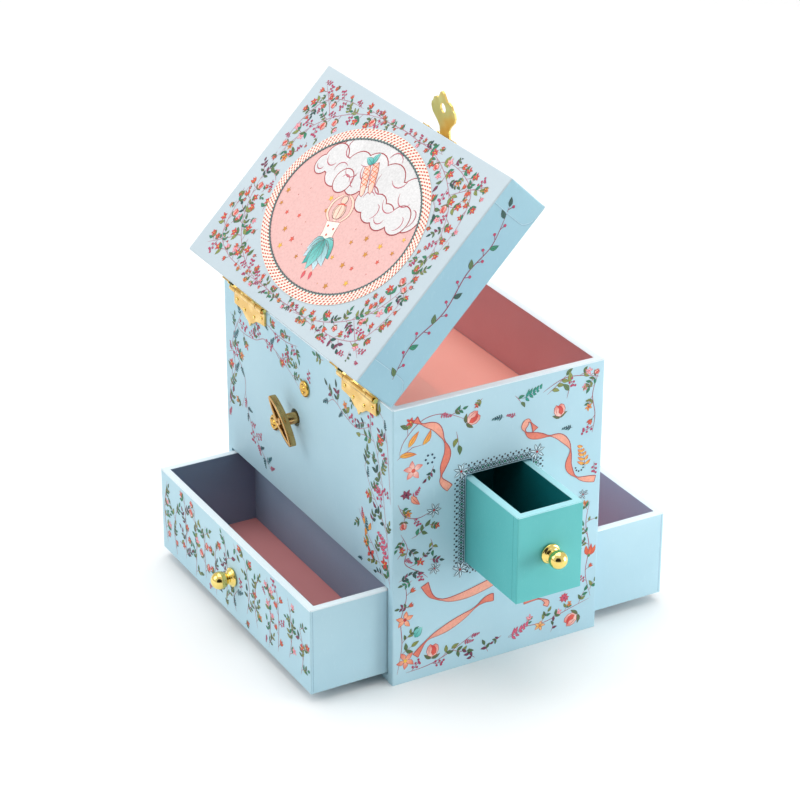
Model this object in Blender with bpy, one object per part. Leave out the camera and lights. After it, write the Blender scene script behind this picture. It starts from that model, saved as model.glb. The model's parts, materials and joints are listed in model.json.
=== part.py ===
"""Ballerina jewellery box: a paper-covered board case with a tray and a dancer under a hinged lid, two
drawers back to back below, a small drawer in one side, and a spring-driven musical movement on the back
wall, wound by a key.

Frame: metres, +Z up, origin at the middle of the case's underside. +X runs along the hinge line, +Y points
out of the back (hinges and key), -Y out of the front (clasp), and the small drawer slides out along -X.
All sizes below are millimetres, in the closed state; each finished mesh is scaled to metres."""

import math

import bmesh
import bpy
from mathutils import Matrix, Vector
from mathutils.geometry import tessellate_polygon

MM = 0.001
GAP = 0.3

# Case
WIDTH = 150.0
DEPTH = 98.5
CASE_HEIGHT = 126.2
LID_HEIGHT = 22.0
BOARD = 3.2
LID_BOARD = 3.0
MIRROR_HALF_X, MIRROR_HALF_Y = 56.0, 33.0
DRAWER_BOARD = 3.0
EDGE = 0.35
LOWER_OPENING_TOP = 44.6
SHELF_LOW = 45.3
TRAY_FLOOR_TOP = 94.7
PLATFORM_TOP = 109.3
PLATFORM_FRONT = 7.7
THIN_BOARD = 2.0

# Drawers
LOWER_DRAWER_LOW = 4.5
LOWER_DRAWER_HIGH = 43.5
LOWER_DRAWER_SIDE_GAP = 1.2
DRAWER_FLOOR_LIFT = 1.2
DRAWER_FLOOR_BOARD = 2.8
SIDE_DRAWER_WIDTH = 30.2
SIDE_DRAWER_LOW = 49.3
SIDE_DRAWER_HIGH = 88.1
SIDE_DRAWER_LENGTH = 66.0
SIDE_OPENING_MARGIN = 0.6
SIDE_OPENING_LOW = 48.8
SIDE_OPENING_HIGH = 89.5

# How far each moving part stands open
LID_OPEN_DEG = 45.9
HASP_OPEN_DEG = 138.2
BACK_DRAWER_OUT = 35.3
FRONT_DRAWER_OUT = 36.4
SIDE_DRAWER_OUT = 39.3

# Fittings
KNUCKLE_R = 1.5
PIN_R = 0.55
HINGE_X = 48.75
HINGE_LENGTH = 29.6
LEAF_THICK = 0.8
HASP_AXIS_Z = 129.6
HASP_KNUCKLE_R = 1.3
HASP_HOLE_AT = 14.35
HASP_HOLE_R = 2.2
KEY_X = 8.8
KEY_Z = 86.9
KEY_HOLE_R = 3.9
KEY_BOW_TURN_DEG = 38.9
MOVEMENT_SCREWS = ((-1.0, 104.6), (27.3, 76.6))

# Movement
BEDPLATE = (-5.0, 35.2, 52.0, 107.0)
BEDPLATE_THICK = 2.2
ARBOR_Y = 29.5
ARBOR_R = 1.0
CYLINDER_R = 6.5
CYLINDER_LOW, CYLINDER_HIGH = 55.6, 73.9
NOTES = 18
BARREL_R = 11.0
CROWN_TEETH = 18
CROWN_MEAN_R = 9.8
PINION_TEETH = 9
PINION_PITCH_R = 4.9
GREAT_WHEEL_TEETH, GREAT_WHEEL_R = 30, 10.6
SMALL_PINION_TEETH, SMALL_PINION_R = 10, 3.54
GOVERNOR_X, GOVERNOR_Y = 22.5, 33.0
WORM_WHEEL_TEETH, WORM_WHEEL_R = 27, 6.07
WORM_R = 2.0
WORM_STARTS = 3
WORM_Z = 96.25
FLY_R = 4.6
WINDING_SHAFT_R = 1.8
KEY_BOW_AT = 6.4
SCREW_SHANK_R = 1.4
PIVOT_R = 0.6
BARREL_BACK_Y = 43.2
ARBOR_LOW_BEARING = 52.3
ARBOR_HIGH_BEARING = 102.7
GOVERNOR_LOW_BEARING = 91.9
GREAT_WHEEL_LOW = 99.4
WHEEL_THICK = 1.5
PINION_LOW = 75.5
COMB_Y = 29.3
WORM_ROOT_R = 1.35
WORM_CREST_R = 2.35
WORM_BACK = -10.9
FLY_NEAR = 9.4
STOP_ROD_R = 0.6
STOP_ROD_X, STOP_ROD_Y = 37.6, 43.0
STOP_ARM_Z = 103.7
STOP_ROD_TRAVEL = 2.0

# Derived places
HALF_W = WIDTH / 2
HALF_D = DEPTH / 2
INNER_X = HALF_W - BOARD
INNER_Y = HALF_D - BOARD
FIT_X = INNER_X - GAP
FIT_Y = INNER_Y - GAP
LID_LOW = CASE_HEIGHT + GAP
LID_HIGH = CASE_HEIGHT + LID_HEIGHT
LID_PLATE_LOW = LID_HIGH - LID_BOARD
HINGE_Y = HALF_D + GAP + KNUCKLE_R
HINGE_Z = CASE_HEIGHT + GAP / 2
HASP_AXIS_Y = -HALF_D - GAP - HASP_KNUCKLE_R
SIDE_OPENING_HALF = SIDE_DRAWER_WIDTH / 2 + SIDE_OPENING_MARGIN
WORM_X = GOVERNOR_X + WORM_WHEEL_R + WORM_R
STOP_ROD_TOP = LID_PLATE_LOW - GAP + STOP_ROD_TRAVEL

# Rotations that turn a shape's local +Z to face a world direction
FACE_BACK = (-math.pi / 2, 0.0, 0.0)
FACE_FRONT = (math.pi / 2, 0.0, 0.0)


def clear_scene():
    for obj in list(bpy.data.objects):
        bpy.data.objects.remove(obj)


def paint(name, colour, roughness, metallic=0.0):
    material = bpy.data.materials.new(name)
    material.use_nodes = True
    shader = material.node_tree.nodes["Principled BSDF"]
    shader.inputs["Base Color"].default_value = (*colour, 1.0)
    shader.inputs["Roughness"].default_value = roughness
    shader.inputs["Metallic"].default_value = metallic
    material.diffuse_color = (*colour, 1.0)
    return material


# ---- shapes, all in millimetres -------------------------------------------------------------------------


def mesh_of(bm):
    """A mesh from a bmesh, with every face pointing outwards."""
    bmesh.ops.recalc_face_normals(bm, faces=bm.faces)
    mesh = bpy.data.meshes.new("shape")
    bm.to_mesh(mesh)
    bm.free()
    return mesh


def cuboid(low, high, edge=0.0):
    """A square block between two corners, with its edges eased."""
    size = Vector(high) - Vector(low)
    middle = (Vector(high) + Vector(low)) / 2
    bm = bmesh.new()
    bmesh.ops.create_cube(bm, size=1.0)
    bmesh.ops.scale(bm, vec=size, verts=bm.verts)
    bmesh.ops.translate(bm, vec=middle, verts=bm.verts)
    if edge:
        bmesh.ops.bevel(bm, geom=bm.edges[:], offset=edge, segments=1, affect="EDGES")
    return mesh_of(bm)


def prism(outline, low, high, holes=(), twist=0.0):
    """A flat outline in XY with round or shaped holes, extruded along Z; twist turns its top about Z."""
    loops = [outline, *holes]
    corners = [point for loop in loops for point in loop]
    triangles = tessellate_polygon([[Vector((x, y, 0)) for x, y in loop] for loop in loops])
    turn = Matrix.Rotation(twist, 2)
    bm = bmesh.new()
    bottom = [bm.verts.new((x, y, low)) for x, y in corners]
    top = [bm.verts.new((*(turn @ Vector(point)), high)) for point in corners]
    for a, b, c in triangles:
        bm.faces.new((bottom[a], bottom[b], bottom[c]))
        bm.faces.new((top[c], top[b], top[a]))
    start = 0
    for loop in loops:
        count = len(loop)
        for i in range(count):
            a = start + i
            b = start + (i + 1) % count
            bm.faces.new((bottom[a], bottom[b], top[b], top[a]))
        start += count
    return mesh_of(bm)


def circle(x, y, radius, steps=16):
    turns = [2 * math.pi * i / steps for i in range(steps)]
    return [(x + radius * math.cos(a), y + radius * math.sin(a)) for a in turns]


def rectangle(x0, y0, x1, y1):
    return [(x0, y0), (x1, y0), (x1, y1), (x0, y1)]


def mirrored(half):
    """A whole outline from its right half, listed from bottom to top."""
    left = [(-x, y) for x, y in reversed(half) if x > 0]
    return list(half) + left


def revolve(profile, steps=20, radius_at=None):
    """A closed turned body about Z. The profile runs from one end to the other and each end is closed by
    a point on the axis. radius_at(radius, height, angle) can shape it away from round."""
    bm = bmesh.new()
    rings = []
    for radius, height in profile:
        ring = []
        for i in range(steps):
            angle = 2 * math.pi * i / steps
            r = radius_at(radius, height, angle) if radius_at else radius
            ring.append(bm.verts.new((r * math.cos(angle), r * math.sin(angle), height)))
        rings.append(ring)
    for lower, upper in zip(rings, rings[1:]):
        for i in range(steps):
            j = (i + 1) % steps
            bm.faces.new((lower[i], lower[j], upper[j], upper[i]))
    for ring in (rings[0], rings[-1]):
        bm.faces.new(ring)
    return mesh_of(bm)


def turned_ring(profile_at, steps):
    """A ring about Z with a hole through it; profile_at(step) gives its closed cross-section there."""
    bm = bmesh.new()
    rings = []
    for i in range(steps):
        angle = 2 * math.pi * i / steps
        section = profile_at(i)
        rings.append([bm.verts.new((r * math.cos(angle), r * math.sin(angle), z)) for r, z in section])
    for i in range(steps):
        here, there = rings[i], rings[(i + 1) % steps]
        count = len(here)
        for k in range(count):
            m = (k + 1) % count
            bm.faces.new((here[k], there[k], there[m], here[m]))
    return mesh_of(bm)


def rod(radius, low, high, steps=12):
    return revolve([(radius, low), (radius, high)], steps)


def moved(mesh, offset=(0, 0, 0), rotation=(0, 0, 0)):
    from_euler = Matrix.LocRotScale(Vector(offset), None, None) @ euler_matrix(rotation)
    mesh.transform(from_euler)
    return mesh


def euler_matrix(rotation):
    x, y, z = rotation
    turn_x = Matrix.Rotation(x, 4, "X")
    turn_y = Matrix.Rotation(y, 4, "Y")
    turn_z = Matrix.Rotation(z, 4, "Z")
    return turn_z @ turn_y @ turn_x


def combined(first, others, operation="UNION"):
    """One closed mesh: the first shape joined with the others, or cut by them."""
    base = bpy.data.objects.new("base", first)
    bpy.context.scene.collection.objects.link(base)
    for other in others:
        tool = bpy.data.objects.new("tool", other)
        bpy.context.scene.collection.objects.link(tool)
        change = base.modifiers.new("combine", "BOOLEAN")
        change.operation = operation
        change.solver = "EXACT"
        change.object = tool
        graph = bpy.context.evaluated_depsgraph_get()
        result = bpy.data.meshes.new_from_object(base.evaluated_get(graph))
        base.modifiers.clear()
        base.data = result
        bpy.data.objects.remove(tool)
    mesh = base.data
    bpy.data.objects.remove(base)
    return mesh


def gear_outline(teeth, pitch_r, addendum, dedendum, fill, phase):
    """A spur gear's outline with straight-sided teeth; fill is a tooth's share of the pitch, and phase
    the direction of one tooth's middle."""
    half = fill * math.pi / teeth
    points = []
    for i in range(teeth):
        middle = phase + 2 * math.pi * i / teeth
        for radius, offset in (
            (pitch_r - dedendum, -1.35 * half),
            (pitch_r + addendum, -0.6 * half),
            (pitch_r + addendum, 0.6 * half),
            (pitch_r - dedendum, 1.35 * half),
        ):
            angle = middle + offset
            points.append((radius * math.cos(angle), radius * math.sin(angle)))
    return points


# ---- placing --------------------------------------------------------------------------------------------


def empty_at(name, point):
    empty = bpy.data.objects.new(name, None)
    empty.location = Vector(point) * MM
    bpy.context.scene.collection.objects.link(empty)
    return empty


def solid(name, mesh, material, at=(0, 0, 0), turn=(0, 0, 0), parent=None, smooth=False):
    """Places a shape drawn in millimetres at a point of the closed box, on its parent's joint axis."""
    mesh.transform(Matrix.Scale(MM, 4))
    mesh.name = name
    mesh.materials.clear()
    mesh.materials.append(material)
    if smooth:
        mesh.shade_smooth()
        mesh.set_sharp_from_angle(angle=math.radians(35))
    obj = bpy.data.objects.new(name, mesh)
    bpy.context.scene.collection.objects.link(obj)
    obj.location = Vector(at) * MM
    obj.rotation_euler = turn
    if parent:
        obj.parent = parent
        obj.location -= parent.location
    return obj


def board(name, low, high, material, parent=None):
    """A board between two corners of the closed box, centred on its own origin."""
    middle = [(a + b) / 2 for a, b in zip(low, high)]
    half = [(b - a) / 2 for a, b in zip(low, high)]
    mesh = cuboid([-h for h in half], half, EDGE)
    return solid(name, mesh, material, at=middle, parent=parent)


# ---- case -----------------------------------------------------------------------------------------------


def build_case(sky, lining):
    """Side panels full depth, front and back panels between them above the lower drawers, and the inner
    boards: base, drawer divider, shelf, side drawer guides, tray floor and the movement's housing."""
    opening = rectangle(-SIDE_OPENING_HALF, SIDE_OPENING_LOW, SIDE_OPENING_HALF, SIDE_OPENING_HIGH)
    outline = rectangle(-HALF_D, 0, HALF_D, CASE_HEIGHT)
    upright = prism(outline, -BOARD, 0, [opening])
    moved(upright, rotation=(math.pi / 2, 0, math.pi / 2))
    moved(upright, (-HALF_W + BOARD, 0, 0))
    solid("side_panel_with_opening", upright, sky)
    board("side_panel_plain", (INNER_X, -HALF_D, 0), (HALF_W, HALF_D, CASE_HEIGHT), sky)
    board("front_panel", (-FIT_X, -HALF_D, LOWER_OPENING_TOP), (FIT_X, -INNER_Y, CASE_HEIGHT), sky)
    build_back_panel(sky)
    board("base_panel", (-FIT_X, -HALF_D, 0), (FIT_X, HALF_D, BOARD + 0.4), sky)

    shelf_top = SHELF_LOW + BOARD
    divider_half = 1.2
    board("drawer_divider", (-FIT_X, -divider_half, BOARD + 0.7), (FIT_X, divider_half, SHELF_LOW - GAP), sky)
    board("drawer_shelf", (-FIT_X, -FIT_Y, SHELF_LOW), (FIT_X, FIT_Y, shelf_top), sky)

    guide_y = SIDE_OPENING_HALF
    guide_top = TRAY_FLOOR_TOP - THIN_BOARD - GAP
    for name, y0 in (("side_drawer_guide_front", -guide_y - THIN_BOARD), ("side_drawer_guide_rear", guide_y)):
        board(name, (-FIT_X, y0, shelf_top + GAP), (FIT_X, y0 + THIN_BOARD, guide_top), sky)
    tray_back = guide_y + THIN_BOARD
    tray_low = TRAY_FLOOR_TOP - THIN_BOARD
    board("tray_floor", (-FIT_X, -FIT_Y, tray_low), (FIT_X, tray_back, TRAY_FLOOR_TOP), lining)

    platform_low = PLATFORM_TOP - THIN_BOARD
    riser_back = PLATFORM_FRONT + THIN_BOARD
    riser_low = (-FIT_X, PLATFORM_FRONT, TRAY_FLOOR_TOP + GAP)
    board("platform_riser", riser_low, (FIT_X, riser_back, platform_low - GAP), lining)
    deck = rectangle(-FIT_X, PLATFORM_FRONT, FIT_X, FIT_Y)
    holes = [circle(KEY_X, ARBOR_Y, 2.6), circle(STOP_ROD_X, STOP_ROD_Y, 1.4, 12)]
    solid("dancer_platform", prism(deck, platform_low, PLATFORM_TOP, holes), lining)


def build_back_panel(sky):
    """The back panel, bored for the winding key and the two movement screws."""
    outline = rectangle(-FIT_X, LOWER_OPENING_TOP, FIT_X, CASE_HEIGHT)
    holes = [circle(KEY_X, KEY_Z, KEY_HOLE_R, 20)]
    for x, z in MOVEMENT_SCREWS:
        holes.append(circle(x, z, SCREW_SHANK_R + GAP, 12))
    panel = prism(outline, 0, BOARD, holes)
    solid("back_panel", panel, sky, at=(0, HALF_D, 0), turn=FACE_FRONT)


# ---- lid ------------------------------------------------------------------------------------------------


def build_lid(sky, glass, hinge):
    side_top = LID_PLATE_LOW - GAP
    lid_inner_x = HALF_W - LID_BOARD
    lid_inner_y = HALF_D - LID_BOARD
    end_x = lid_inner_x - GAP
    board("lid_top", (-HALF_W, -HALF_D, LID_PLATE_LOW), (HALF_W, HALF_D, LID_HIGH), sky, hinge)
    board("lid_side_left", (-HALF_W, -HALF_D, LID_LOW), (-lid_inner_x, HALF_D, side_top), sky, hinge)
    board("lid_side_right", (lid_inner_x, -HALF_D, LID_LOW), (HALF_W, HALF_D, side_top), sky, hinge)
    board("lid_front", (-end_x, -HALF_D, LID_LOW), (end_x, -lid_inner_y, side_top), sky, hinge)
    board("lid_back", (-end_x, lid_inner_y, LID_LOW), (end_x, HALF_D, side_top), sky, hinge)
    mirror_thick = 1.2
    mirror_high = LID_PLATE_LOW - GAP
    mirror_low = (-MIRROR_HALF_X, -MIRROR_HALF_Y, mirror_high - mirror_thick)
    board("mirror", mirror_low, (MIRROR_HALF_X, MIRROR_HALF_Y, mirror_high), glass, hinge)


# ---- hinges and clasp -----------------------------------------------------------------------------------


def leaf_outline(knuckles_inside):
    """A hinge leaf below its barrel at y = 0: it reaches up to its own knuckles, in the middle or at the
    two ends, and comes down through scallops to a central point."""
    edge = HINGE_LENGTH / 2
    split = 9.6
    clear, reach = -1.85, -0.7
    scallops = [(0, -12.9), (1.5, -10.9), (3.3, -10.5), (6.4, -8.3), (9.8, -7.7), (edge - 0.5, -7.5)]
    if knuckles_inside:
        top = [(edge - 0.5, clear), (split - GAP, clear), (split - GAP, reach)]
    else:
        top = [(edge, clear), (edge, reach), (split, reach), (split, clear)]
    return mirrored(scallops + top)


def hinge_leaf(knuckle_spans, knuckles_inside):
    """One leaf with its knuckles about the X axis, drawn hanging down in the XZ plane behind the axis."""
    plate = prism(leaf_outline(knuckles_inside), 0, LEAF_THICK)
    moved(plate, (0, -KNUCKLE_R + LEAF_THICK, 0), FACE_FRONT)
    knuckles = [axle(KNUCKLE_R, x0, x1, 16) for x0, x1 in knuckle_spans]
    leaf = combined(plate, knuckles)
    bore = axle(PIN_R + GAP, -HINGE_LENGTH, HINGE_LENGTH, 12)
    return combined(leaf, [bore], "DIFFERENCE")


def axle(radius, x0, x1, steps=12):
    """A round bar about the X axis."""
    bar = rod(radius, x0, x1, steps)
    return moved(bar, rotation=(0, math.pi / 2, 0))


def build_hinges(brass, hinge):
    split = 9.6
    end = HINGE_LENGTH / 2
    for side, x in (("left", -HINGE_X), ("right", HINGE_X)):
        at = (x, HINGE_Y, HINGE_Z)
        case_leaf = hinge_leaf([(-split + GAP, split - GAP)], True)
        solid(f"hinge_{side}_case_leaf", case_leaf, brass, at, smooth=True)
        lid_leaf = hinge_leaf([(-end, -split), (split, end)], False)
        lid_leaf.transform(Matrix.Scale(-1, 4, Vector((0, 0, 1))))
        lid_leaf.flip_normals()
        solid(f"hinge_{side}_lid_leaf", lid_leaf, brass, at, parent=hinge, smooth=True)
        head, head_r = 0.6, 1.0
        profile = [(head_r, -end - GAP - head), (head_r, -end - GAP), (PIN_R, -end - GAP)]
        profile += [(r, -z) for r, z in reversed(profile)]
        pin = moved(revolve(profile, 12), rotation=(0, math.pi / 2, 0))
        solid(f"hinge_{side}_pin", pin, brass, at, smooth=True)


def build_clasp(brass, lid_hinge):
    """Plate and hasp on the lid's front, turning on a pin, and the catch with its stud on the case."""
    ear_in, ear_out = 4.1, 6.6
    plate_half = [(0, 1.75), (ear_in, 1.75), (ear_in, 0.6), (ear_out, 0.6), (ear_out, 4.2)]
    plate_half += [(8.3, 6.4), (7.6, 9.3), (4.6, 10.2), (3.0, 12.4), (0, 14.6)]
    plate = moved(prism(mirrored(plate_half), 0, LEAF_THICK), (0, HASP_KNUCKLE_R, 0), FACE_FRONT)
    ears = [axle(HASP_KNUCKLE_R, s * ear_in, s * ear_out, 14) for s in (-1, 1)]
    bore = axle(PIN_R + GAP, -HINGE_LENGTH, HINGE_LENGTH)
    plate = combined(combined(plate, ears), [bore], "DIFFERENCE")
    at = (0, HASP_AXIS_Y, HASP_AXIS_Z)
    solid("clasp_plate", plate, brass, at, parent=lid_hinge, smooth=True)
    pin = axle(PIN_R, -ear_out - 0.4, ear_out + 0.4)
    solid("clasp_pin", pin, brass, at, parent=lid_hinge, smooth=True)

    hasp_axis = empty_at("hasp_axis", at)
    hasp_axis.parent = lid_hinge
    hasp_axis.location -= lid_hinge.location
    neck = ear_in - GAP
    half = [(0, -21.7), (1.3, -21.0), (2.5, -19.3), (3.6, -17.7), (5.0, -18.1), (7.1, -17.2), (7.9, -15.5)]
    half += [(9.2, -14.6), (9.65, -12.5), (8.7, -10.2), (5.6, -7.6), (neck, -5.4), (neck, -0.4)]
    flap = prism(mirrored(half), 0, LEAF_THICK, [circle(0, -HASP_HOLE_AT, HASP_HOLE_R)])
    moved(flap, (0, 0.2, 0), FACE_FRONT)
    knuckle = axle(HASP_KNUCKLE_R, -neck, neck, 14)
    flap = combined(combined(flap, [knuckle]), [axle(PIN_R + GAP, -neck - 1, neck + 1)], "DIFFERENCE")
    hasp = solid("clasp_hasp", flap, brass, smooth=True)
    hasp.parent = hasp_axis

    catch_half = [(0, -8.2), (2.4, -6.9), (5.4, -4.6), (6.4, -0.4), (5.0, 3.4), (5.4, 6.0), (3.4, 8.4)]
    catch_plate = prism(mirrored(catch_half + [(0, 8.4)]), 0, 0.6)
    stud = revolve([(1.1, 0.2), (1.1, 2.2), (1.7, 2.7), (1.7, 3.4), (1.1, 4.0)], 14)
    catch = combined(catch_plate, [stud])
    catch_at = (0, -HALF_D - GAP, HASP_AXIS_Z - HASP_HOLE_AT)
    solid("clasp_catch", catch, brass, catch_at, FACE_FRONT, smooth=True)
    return hasp_axis


# ---- drawers --------------------------------------------------------------------------------------------


def knob_mesh():
    """A turned knob with a domed foot and a ball, on a stud that passes through the drawer front."""
    ball_r, ball_at = 4.4, 6.5
    profile = [(1.1, -DRAWER_BOARD - 0.6), (1.1, GAP), (3.6, GAP), (4.3, 0.9), (4.1, 1.9), (2.5, 2.9)]
    for degrees in range(-50, 81, 26):
        angle = math.radians(degrees)
        profile.append((ball_r * math.cos(angle), ball_at + ball_r * math.sin(angle)))
    return revolve(profile, 20)


def build_drawer(name, length, width, low, high, outer, inner, brass):
    """A five-board drawer drawn closed, sliding out along local +Y from its face at y = 0, with its knob.
    Returns the empty that carries it, at the middle of the face."""
    carrier = empty_at(f"{name}_carrier", (0, 0, 0))
    half = width / 2
    wall = DRAWER_BOARD
    side_x = half - wall
    floor_low = low + DRAWER_FLOOR_LIFT
    floor_high = floor_low + DRAWER_FLOOR_BOARD
    middle_z = (low + high) / 2
    face = rectangle(-half, low, half, high)
    stud_hole = circle(0, middle_z, 1.1 + GAP, 12)
    front = moved(prism(face, 0, wall, [stud_hole]), rotation=FACE_FRONT)
    solid(f"{name}_face", front, outer, parent=carrier)
    rear = cuboid((-half, -length, low), (half, -length + wall, high), EDGE)
    solid(f"{name}_rear", rear, inner, parent=carrier)
    for side, sign in (("left", -1), ("right", 1)):
        x0, x1 = sorted((sign * half, sign * side_x))
        mesh = cuboid((x0, -length + wall + GAP, low), (x1, -wall - GAP, high), EDGE)
        solid(f"{name}_side_{side}", mesh, outer, parent=carrier)
    bottom_low = (-side_x + GAP, -length + wall + GAP, floor_low)
    bottom_high = (side_x - GAP, -wall - GAP, floor_high)
    solid(f"{name}_floor", cuboid(bottom_low, bottom_high, EDGE), inner, parent=carrier)
    at = (0, 0, middle_z)
    solid(f"{name}_knob", knob_mesh(), brass, at, FACE_BACK, carrier, smooth=True)
    return carrier


def build_drawers(sky, teal, teal_dark, brass):
    width = 2 * (INNER_X - LOWER_DRAWER_SIDE_GAP)
    length = HALF_D - 1.95
    back = build_drawer("back_drawer", length, width, LOWER_DRAWER_LOW, LOWER_DRAWER_HIGH, sky, sky, brass)
    back.location = Vector((0, HALF_D + BACK_DRAWER_OUT, 0)) * MM
    front = build_drawer("front_drawer", length, width, LOWER_DRAWER_LOW, LOWER_DRAWER_HIGH, sky, sky, brass)
    front.location = Vector((0, -HALF_D - FRONT_DRAWER_OUT, 0)) * MM
    front.rotation_euler = (0, 0, math.pi)
    size = (SIDE_DRAWER_LENGTH, SIDE_DRAWER_WIDTH, SIDE_DRAWER_LOW, SIDE_DRAWER_HIGH)
    side = build_drawer("side_drawer", *size, teal, teal_dark, brass)
    side.location = Vector((-HALF_W - SIDE_DRAWER_OUT, 0, 0)) * MM
    side.rotation_euler = (0, 0, math.pi / 2)


# ---- musical movement -----------------------------------------------------------------------------------


def build_bedplate(cast):
    """The movement's cast bedplate on the back wall, with bearing arms for both arbors and the worm."""
    x0, x1, z0, z1 = BEDPLATE
    holes = [circle(KEY_X, KEY_Z, WINDING_SHAFT_R + GAP, 14), circle(WORM_X, WORM_Z, PIVOT_R + GAP, 10)]
    for x, z in MOVEMENT_SCREWS:
        holes.append(circle(x, z, SCREW_SHANK_R + GAP, 12))
    back = INNER_Y - GAP
    plate = moved(prism(rectangle(x0, z0, x1, z1), 0, BEDPLATE_THICK, holes), (0, back, 0), FACE_FRONT)
    root = back - BEDPLATE_THICK + 0.25
    arm, lug = 1.6, 2.5
    arms = []
    for low in (ARBOR_LOW_BEARING, ARBOR_HIGH_BEARING):
        arms.append(arm_with_bore(KEY_X, ARBOR_Y, lug, low, arm, root, ARBOR_R))
    for low in (GOVERNOR_LOW_BEARING, ARBOR_HIGH_BEARING):
        arms.append(arm_with_bore(GOVERNOR_X, GOVERNOR_Y, 2.2, low, arm, root, PIVOT_R))
    arms.append(cuboid((24.0, COMB_Y + 1.3, 55.0), (31.0, root, 74.0)))
    arms.append(worm_bracket(root))
    solid("bedplate", combined(plate, arms), cast)


def arm_with_bore(x, y, half, low, thick, root, radius):
    """A bearing arm reaching forward from the bedplate, bored for a vertical arbor."""
    outline = rectangle(x - half, y - half, x + half, root)
    return prism(outline, low, low + thick, [circle(x, y, radius + GAP, 12)])


def worm_bracket(root):
    """An arm beside the worm that turns in front of it, with the worm's front bearing."""
    half = 2.2
    post = cuboid((WORM_X + 2.75, 24.6, WORM_Z - half), (BEDPLATE[1] - 0.1, root, WORM_Z + half))
    face = rectangle(WORM_X - half, WORM_Z - half, WORM_X + 4.0, WORM_Z + half)
    plate = prism(face, 0, 1.5, [circle(WORM_X, WORM_Z, PIVOT_R + GAP, 10)])
    moved(plate, (0, 26.1, 0), FACE_FRONT)
    return combined(post, [plate])


def barrel_section(step):
    """The spring barrel's cross-section: a drum with crown teeth on its rim, four steps to a tooth."""
    face, root, tip = 7.7, 8.0, 9.6
    rim = tip if step % 4 < 2 else root
    bore, inner = WINDING_SHAFT_R + GAP, CROWN_MEAN_R - 1.2
    return [(bore, 0), (BARREL_R, 0), (BARREL_R, rim), (inner, rim), (inner, face), (bore, face)]


def build_spring_barrel(brass):
    """The barrel's tooth gap faces straight down at rest, where the pinion's tooth enters it."""
    mesh = turned_ring(barrel_section, CROWN_TEETH * 4)
    step = 2 * math.pi / (CROWN_TEETH * 4)
    gap_middle = 2.5 * step
    mesh.transform(Matrix.Rotation(-math.pi / 2 - gap_middle, 4, "Z"))
    solid("spring_barrel", mesh, brass, (KEY_X, BARREL_BACK_Y, KEY_Z), FACE_FRONT)


def build_winding_key(bronze):
    """A lens-shaped loop of strip on a stem that runs through the back wall and the barrel."""
    bow_len, bow_wide, bow_thick = 24.8, 7.6, 3.0
    outer, slot = [], []
    for i in range(28):
        angle = 2 * math.pi * i / 28
        swell = 0.42 + 0.58 * abs(math.sin(angle))
        outer.append((bow_len / 2 * math.cos(angle), bow_wide / 2 * math.sin(angle) * swell))
        slot.append(((bow_len / 2 - 1.6) * math.cos(angle), (bow_wide / 2 - 1.9) * math.sin(angle) * swell))
    bow = prism(outer, KEY_BOW_AT - bow_thick / 2, KEY_BOW_AT + bow_thick / 2, [slot])
    moved(bow, rotation=(0, 0, -math.radians(KEY_BOW_TURN_DEG)))
    shaft_end = BARREL_BACK_Y - 9.0 - HALF_D
    stem = [(WINDING_SHAFT_R, shaft_end), (WINDING_SHAFT_R, -BOARD - 0.2), (2.6, -BOARD - 0.2), (2.6, KEY_BOW_AT)]
    key = combined(bow, [revolve(stem, 16)])
    solid("winding_key", key, bronze, (KEY_X, HALF_D, KEY_Z), FACE_BACK, smooth=True)


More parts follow.
